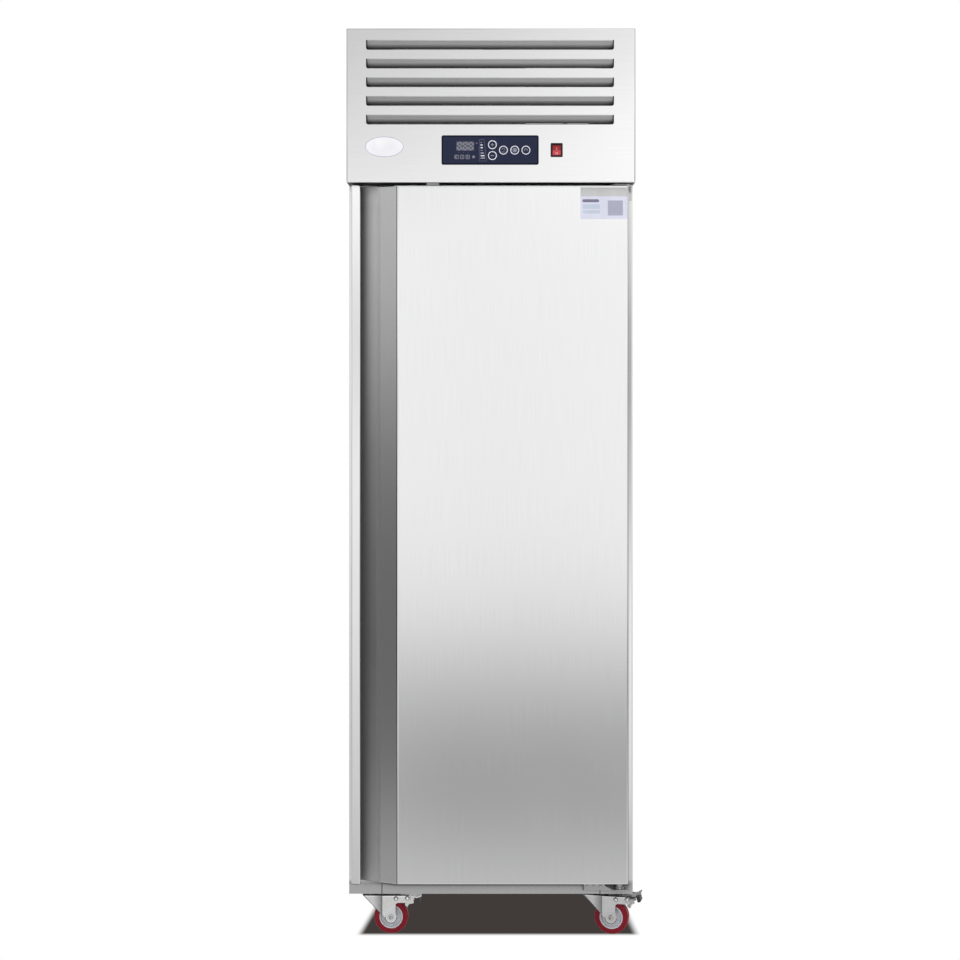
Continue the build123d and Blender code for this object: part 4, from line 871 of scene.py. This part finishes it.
def control_print():
    digits_z = 1.7274
    digits_x = (-0.0674, -0.0551, -0.0428)
    window = rounded_box((-0.0551, digits_z), 0.0190, 0.0098, 0.001)
    panel_print("display_window", [window], "window_dark")
    segments = [s for x in digits_x for s in seven_segments(x, digits_z)]
    panel_print("display_digits", segments, "print_dim", 0.0002)
    point = [rounded_box((-0.0307, 1.7335), 0.0014, 0.0014, 0.0013)]
    panel_print("display_point", point, "print_dim")

    icon_z = 1.7042
    icon_half = 0.0038
    icon_line = 0.0016
    icon_x = (-0.0738, -0.0620, -0.0497)
    icons = []
    for x in icon_x:
        icons += square_lines(x, icon_z, icon_half, icon_line)
    icons += [
        bar(icon_x[2], icon_z, icon_line, 2 * icon_half),
        bar(icon_x[2], icon_z, 2 * icon_half, icon_line),
        bar(icon_x[0] - 0.0012, icon_z, 0.0026, 2 * icon_half),
        bar(icon_x[1] + 0.0004, icon_z, icon_line, 0.0036),
        rounded_box((-0.0373, icon_z), 0.0031, 0.0031, 0.003),
    ]
    panel_print("panel_icons", icons, "print_dim")
    marks = [bar(x, 1.7142, 0.0026, 0.0009) for x in (-0.0690, -0.0590, -0.0490)]
    panel_print("panel_marks", marks, "print_faint")

    # The level scale: height, width and brightness of its bars
    bars_left = -0.0224
    bar_height = 0.0022
    scale = [
        (1.7350, 0.0034, "print_dim"),
        (1.7297, 0.0046, "print_white"),
        (1.7239, 0.0050, "print_white"),
        (1.7181, 0.0050, "print_dim"),
        (1.7125, 0.0074, "print_mid"),
        (1.7067, 0.0086, "print_white"),
        (1.7016, 0.0094, "print_mid"),
    ]
    for index, (z, width, finish) in enumerate(scale):
        panel_print(f"level_bar_{index}", [bar(bars_left + width / 2, z, width, bar_height)], finish)

    line = 0.0009
    top_z = 1.7412
    low_z = 1.6953
    left_x = -0.0250
    top_x = -0.0145
    low_x = -0.0089
    wedge = [
        bar(left_x, (top_z + low_z) / 2, line, top_z - low_z),
        bar((left_x + top_x) / 2, top_z, top_x - left_x, line),
        bar((left_x + low_x) / 2, low_z, low_x - left_x, line),
        [(top_x, top_z), (low_x, low_z), (low_x - line, low_z), (top_x - line, top_z)],
    ]
    panel_print("level_outline", wedge, "print_faint")


overlay_edge()
control_print()

# Rings and generic signs on the five keys

key_line = 0.0017
key_ring_radius = 0.0094
sign_line = 0.0014


def arc_bars(center, radius, start, end, count, line):
    """Short bars that follow an arc, angles in degrees."""
    outlines = []
    for i in range(count):
        a = radians(start + (end - start) * i / count)
        b = radians(start + (end - start) * (i + 1) / count)
        outer = radius + line / 2
        inner = radius - line / 2
        corners = ((outer, a), (outer, b), (inner, b), (inner, a))
        outlines.append([(center[0] + r * cos(turn), center[1] + r * sin(turn)) for r, turn in corners])
    return outlines


def key_sign(key_name, center):
    x, z = center
    reach = 0.0066
    if key_name == "up_key":
        return [bar(x, z, reach, sign_line), bar(x, z, sign_line, reach)]
    if key_name == "down_key":
        return [bar(x, z, reach, sign_line)]
    if key_name == "set_key":
        slant = [(x + 0.0026, z), (x + 0.0038, z), (x - 0.0022, z - 0.0038), (x - 0.0034, z - 0.0038)]
        foot = bar(x, z - 0.0042, 0.0078, sign_line)
        return arc_bars((x, z + 0.0008), 0.0030, 0, 190, 12, sign_line) + [slant, foot]
    if key_name == "light_key":
        return [ellipse(center, 0.0022, 0.0022, 16)] + arc_bars(center, 0.0039, 0, 360, 20, sign_line)
    return arc_bars(center, 0.0036, -30, 210, 16, sign_line) + [bar(x, z + 0.0012, sign_line, 0.0044)]


def key_print(key_name):
    low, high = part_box(key_name)
    center = ((low.x + high.x) / 2, (low.z + high.z) / 2)
    body = body_of_node[key_name]
    ring = oval_ring(center, key_ring_radius, key_ring_radius, key_line)
    ring_plate(f"{key_name}_ring", ring, "print_white", body, low.y)
    finish = "print_dim" if key_name in ("set_key", "power_key") else "print_mid"
    print_plate(f"{key_name}_sign", key_sign(key_name, center), finish, body, low.y)


for key_node in ("up_key", "down_key", "set_key", "light_key", "power_key"):
    key_print(key_node)

# Generic on and off signs on the rocker
switch_x = sum(corner.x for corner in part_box("rocker_button")) / 2
on_sign = [bar(switch_x, 1.7217, 0.0016, 0.0046)]
off_sign = arc_bars((switch_x, 1.7118), 0.0021, 0, 360, 16, 0.0013)
print_on("rocker_on_sign", on_sign, "print_pink", "rocker_button")
print_on("rocker_off_sign", off_sign, "print_pink", "rocker_button")

# Joint lines where the rail meets the uprights of the frame
joint_x = 0.2388
joint_z = 0.1135
joint_lines = [bar(side * joint_x, joint_z, 0.0012, 0.0225) for side in (-1, 1)]
print_plate("rail_joint_lines", joint_lines, "rail_line", "cabinet", rail_front, 0.00005)

# Casters: domed caps on the axle ends and rivets, with painted shade rings round the rivets and painted shade
# lines along each web edge and round each fork end

rivet_places = ((0.035, 0.079), (0.060, 0.080))
axle_place = (0.024, 0.0375)
side_plate_y = 0.017
rivet_head_y = 0.019
axle_nut_y = 0.021
fork_end_radius = 0.0118
# The shaded edge of the slanted web behind each side plate
web_edge = ((-0.0365, 0.0850), (-0.0030, 0.0490))
web_line = 0.0014
web_y = 0.0155
# The tread plate under each pedal's tip, with the pedal level, and the pedals that stand raised
pedal_pivot = (0.060, 0.080)
toe_center = (0.0842, 0.0745)
toe_half_x = 0.0038
toe_half_z = 0.0072
toe_half_y = 0.0125
pedal_lift = {"front_right": 16}


def dome(shape, center, radius, base_y, rise):
    """A shallow cap on a side face, raised along Y by the rise."""
    rings = 6
    loops = []
    for ring in range(rings):
        tilt = ring / rings * pi / 2
        outline = ellipse(center, radius * cos(tilt), radius * cos(tilt), 32)
        loops.append(outline_at(shape, outline, base_y + rise * sin(tilt)))
    close_dome(shape, loops, shape.verts.new((center[0], base_y + rise, center[1])))


def caster_details(place):
    body = f"{place}_swivel"
    home = caster_frame(place)

    def rivet_caps(shape, side):
        for center in rivet_places:
            dome(shape, center, 0.0036, side * rivet_head_y, side * 0.0012)

    def rivet_shade_rings(shape, side):
        for center in rivet_places:
            outer = ellipse(center, 0.0053, 0.0053, 32)
            inner = ellipse(center, 0.0044, 0.0044, 32)
            extrude_ring(shape, outer, inner, side * (side_plate_y + 0.00015), side * side_plate_y)

    def axle_caps(shape, side):
        dome(shape, axle_place, 0.0046, side * axle_nut_y, side * 0.0016)

    def web_lines(shape, side):
        (top_x, top_z), (low_x, low_z) = web_edge
        outline = [(top_x, top_z), (low_x, low_z), (low_x + web_line, low_z), (top_x + web_line, top_z)]
        extrude_outline(shape, outline, side * (web_y + 0.0001), side * web_y)

    def fork_ends(shape, side):
        outline = ellipse(axle_place, fork_end_radius, fork_end_radius, 48)
        extrude_outline(shape, outline, side * (side_plate_y + 0.0006), side * side_plate_y)

    def end_shade_lines(shape, side):
        for points in arc_bars(axle_place, fork_end_radius + 0.0005, 175, 360, 24, 0.0011):
            extrude_outline(shape, points, side * (side_plate_y + 0.0005), side * side_plate_y)

    def both_sides(detail):
        def fill(shape):
            for side in (-1, 1):
                detail(shape, side)
        return fill

    for name, detail, finish in (
        ("rivet_caps", rivet_caps, "zinc_plate"),
        ("rivet_shade_rings", rivet_shade_rings, "rivet_line"),
        ("axle_caps", axle_caps, "hinge_zinc"),
        ("web_lines", web_lines, "zinc_dull"),
        ("fork_ends", fork_ends, f"{place}_fork"),
        ("end_shade_lines", end_shade_lines, "zinc_dull"),
    ):
        piece = piece_from(f"{place}_{name}", both_sides(detail), finish, body, home)
        for face in piece.data.polygons:
            face.use_smooth = name.endswith("caps")


def toe_plate(place):
    """The ribbed plate that a foot presses, under the tip of a brake pedal."""
    ribs = 4
    rib_pitch = 0.0032

    def fill(shape):
        plate = rounded_box(toe_center, toe_half_x, toe_half_z, 0.003)
        extrude_outline(shape, plate, -toe_half_y, toe_half_y)
        for rib in range(ribs):
            z = toe_center[1] + (rib - (ribs - 1) / 2) * rib_pitch
            outline = rounded_box((toe_center[0] + toe_half_x, z), 0.0007, 0.0008, 0.0006)
            extrude_outline(shape, outline, -toe_half_y, toe_half_y)

    pivot = Matrix.Translation((pedal_pivot[0], 0, pedal_pivot[1]))
    lift = Matrix.Rotation(radians(-pedal_lift.get(place, 0)), 4, "Y")
    home = caster_frame(place) @ pivot @ lift @ pivot.inverted()
    # The toe plate's black stands in for the shade on the pedal's tip: painted shade
    plate = piece_from(f"{place}_toe_plate", fill, "motor_black", f"{place}_pedal", home)
    soften(plate, 0.0004)


for caster_name in caster_names:
    caster_details(caster_name)
    toe_plate(caster_name)


# Studio: floor, world, lamps and camera

# The painted shadow below the cabinet: its low and high side, how far each fades, and how its left and right lean
SHADOW_X = ((-0.264, 0.010), (0.3065, 0.012))
SHADOW_LEAN = (-0.112, 0.065)
SHADOW_Y = ((-0.236, 0.012), (0.34, 0.05))
SHADOW_COLOR = (0.053, 0.045, 0.042)
FLOOR_HALF = 40.0


def shadow_share(material):
    """1 in the shadow below the cabinet, 0 away from it."""
    x, y = axis_parts(material, own_place(material))[:2]
    left, right = (calculate(material, "MULTIPLY_ADD", y, lean, x) for lean in SHADOW_LEAN)
    shares = []
    for values, sides in (((left, right), SHADOW_X), ((y, y), SHADOW_Y)):
        for value, (edge, fade), ends in zip(values, sides, ((0.0, 1.0), (1.0, 0.0))):
            shares.append(spread(material, value, *ends, edge - fade, edge + fade, "SMOOTHSTEP"))
    return product(material, *shares)


def set_up_floor():
    """A pale floor, white to the camera, with the object's shadow painted below it."""
    mesh = bpy.data.meshes.new("floor")
    corners = [(x * FLOOR_HALF, y * FLOOR_HALF, 0) for x, y in CORNERS]
    mesh.from_pydata(corners, [], [(0, 1, 2, 3)])
    floor = bpy.data.objects.new("floor", mesh)
    bpy.context.scene.collection.objects.link(floor)
    floor.visible_glossy = False
    material = new_material("floor_white", (0.8, 0.8, 0.8), 0.9)
    ramp = add_node(material, "ShaderNodeValToRGB")
    stops = ramp.color_ramp.elements
    stops[0].color = (1, 1, 1, 1)
    stops[1].color = (*SHADOW_COLOR, 1)
    glow = add_node(material, "ShaderNodeEmission", Strength=1.0)
    paths = add_node(material, "ShaderNodeLightPath")
    choice = add_node(material, "ShaderNodeMixShader")
    output = material.node_tree.nodes["Material Output"]
    link(material, shadow_share(material), ramp.inputs["Fac"])
    link(material, ramp.outputs["Color"], glow.inputs["Color"])
    link(material, paths.outputs["Is Camera Ray"], choice.inputs["Fac"])
    link(material, shader_of(material).outputs["BSDF"], choice.inputs[1])
    link(material, glow.outputs["Emission"], choice.inputs[2])
    link(material, choice.outputs["Shader"], output.inputs["Surface"])
    mesh.materials.append(material)


# What the steel mirrors: brightness by height, as (sine of the elevation, level)
AHEAD_LEVELS = [
    (-1.0, 1.1), (-0.5, 1.05), (-0.4, 0.9), (-0.32, 0.72), (-0.27, 0.62),
    (-0.249, 0.45), (-0.228, 0.345), (-0.21, 0.375), (-0.184, 0.47), (-0.157, 0.72),
    (-0.129, 0.94), (-0.1, 1.01), (-0.06, 1.04), (0.045, 1.06), (0.113, 1.10),
    (0.15, 1.0), (0.17, 0.91), (0.195, 0.79), (0.26, 0.82), (0.4, 0.85),
    (1.0, 0.8),
]
# The same seen from the door's folded lip, which faces a little to the left
LIP_LEVELS = [
    (-1.0, 1.0), (-0.4, 0.62), (-0.28, 0.58), (-0.243, 0.72), (-0.187, 0.81),
    (-0.13, 0.95), (-0.102, 0.98), (-0.074, 1.03), (-0.046, 1.08), (-0.017, 0.97),
    (0.011, 0.86), (0.039, 0.89), (0.067, 1.04), (0.095, 1.2), (0.115, 1.3),
    (0.195, 0.85), (1.0, 0.8),
]
LEFT_LEVELS = [
    (-1.0, 1.0), (-0.5, 0.7), (-0.27, 0.40), (-0.236, 0.29), (-0.21, 0.165),
    (-0.15, 0.155), (-0.1, 0.163), (-0.045, 0.215), (0.0, 0.355), (0.045, 0.50),
    (0.1, 0.57), (0.3, 0.7), (1.0, 0.8),
]
RIGHT_LEVELS = [
    (-1.0, 1.0), (-0.5, 0.6), (-0.2, 0.35), (0.0, 0.4),
    (0.1, 0.45), (0.3, 0.6), (1.0, 0.8),
]
# Shares of the side regions and a bright strip, as (degrees from straight ahead, share)
LEFT_SHARE = [(27, 0.0), (31, 1.0), (46, 1.0), (50, 1.0), (88, 0.6), (100, 0.0)]
LEFT_SHADE = [(27, 1.0), (31, 0.2), (42, 0.35), (47, 1.0), (90, 1.0)]
LIP_SHARE = [(7, 0.0), (10, 1.0), (27, 1.0)]
RIGHT_SHARE = [(30, 0.0), (38, 1.0), (84, 1.0), (110, 0.3)]
# Near the middle: darker to the left high up, brighter to the left low down, and brighter to both flanks
NEAR = 0.3
HIGH_SHARE = [(-1.0, 0.0), (0.09, 0.0), (0.12, 1.0)]
LOW_SHARE = [(-1.0, 0.0), (-0.28, 0.0), (-0.24, 1.0), (-0.19, 1.0), (-0.15, 0.0)]
TOP_GAIN = 2.0
LOW_GAIN = 2.0
FLANK_GAIN = 0.4
GLOSS_STRENGTH = 2.0
PLAIN_STRENGTH = 0.6


def studio_gloss(world):
    """The brightness that mirrors show, by direction, at half its strength."""
    x, y, z = axis_parts(world, add_node(world, "ShaderNodeTexCoord").outputs["Generated"])
    bearing = calculate(world, "ARCTAN2", x, product(world, y, -1.0))
    to_left = product(world, bearing, -1.0)

    def by_height(levels):
        return curve(world, z, [(sine, level / GLOSS_STRENGTH) for sine, level in levels])

    def by_angle(angle, shares):
        return curve(world, angle, [(radians(degrees), share) for degrees, share in shares])

    near = calculate(world, "MINIMUM", calculate(world, "MAXIMUM", bearing, -NEAR), NEAR)
    lean = product(world, near, TOP_GAIN, curve(world, z, HIGH_SHARE))
    drop = product(world, calculate(world, "MINIMUM", near, 0.0), -LOW_GAIN, curve(world, z, LOW_SHARE))
    flank = product(world, calculate(world, "ABSOLUTE", near), FLANK_GAIN)
    gain = calculate(world, "ADD", calculate(world, "ADD", lean, drop), calculate(world, "ADD", flank, 1.0))
    level = product(world, by_height(AHEAD_LEVELS), gain)
    level = blend(world, by_angle(to_left, LIP_SHARE), level, by_height(LIP_LEVELS))
    left_level = product(world, by_height(LEFT_LEVELS), by_angle(to_left, LEFT_SHADE))
    level = blend(world, by_angle(to_left, LEFT_SHARE), level, left_level)
    return blend(world, by_angle(bearing, RIGHT_SHARE), level, by_height(RIGHT_LEVELS))


def set_up_world():
    """White to the camera, a plain light for matt surfaces, and a studio in gloss."""
    world = bpy.data.worlds.new("studio")
    bpy.context.scene.world = world
    world.use_nodes = True
    world.node_tree.nodes.clear()
    glossy, plain, white = (
        add_node(world, "ShaderNodeBackground", Color=(1, 1, 1, 1), Strength=strength)
        for strength in (GLOSS_STRENGTH, PLAIN_STRENGTH, 1.0)
    )
    link(world, studio_gloss(world), glossy.inputs["Color"])
    paths = add_node(world, "ShaderNodeLightPath")
    choice = plain.outputs[0]
    for ray, background in (("Is Glossy Ray", glossy), ("Is Camera Ray", white)):
        mix = add_node(world, "ShaderNodeMixShader")
        link(world, paths.outputs[ray], mix.inputs["Fac"])
        link(world, choice, mix.inputs[1])
        link(world, background.outputs[0], mix.inputs[2])
        choice = mix.outputs[0]
    link(world, choice, add_node(world, "ShaderNodeOutputWorld").inputs["Surface"])


def add_lamp(name, place, target, size, power):
    """A soft area lamp that mirrors don't show."""
    data = bpy.data.lights.new(name, "AREA")
    data.shape = "RECTANGLE"
    data.size, data.size_y = size
    data.energy = power
    lamp = bpy.data.objects.new(name, data)
    bpy.context.scene.collection.objects.link(lamp)
    lamp.location = place
    aim = Vector(target) - Vector(place)
    lamp.rotation_euler = aim.to_track_quat("-Z", "Y").to_euler()
    lamp.visible_glossy = False
    lamp.visible_camera = False


def set_up_camera():
    """The camera: level, in front of the object, with its centre off to one side."""
    distance = 4.15
    eye_height = 1.225
    data = bpy.data.cameras.new("camera")
    data.sensor_width = 36.0
    data.lens = 66.4
    data.shift_x = -0.0114
    data.shift_y = -0.10391
    data.clip_end = 200.0
    camera = bpy.data.objects.new("camera", data)
    bpy.context.scene.collection.objects.link(camera)
    camera.location = (0.0, -distance, eye_height)
    camera.rotation_euler = (radians(90), 0, 0)
    bpy.context.scene.camera = camera


set_up_floor()
set_up_world()
add_lamp("key_lamp", (-1.6, -2.6, 3.4), (0, 0, 1.0), (2.4, 2.4), 45.0)
add_lamp("fill_lamp", (2.4, -2.2, 2.2), (0, 0, 0.9), (2.0, 2.0), 22.0)
add_lamp("back_lamp", (0.5, 2.8, 3.2), (0, 0, 1.2), (2.4, 2.0), 25.0)
set_up_camera()
bpy.context.scene.view_settings.view_transform = "Standard"
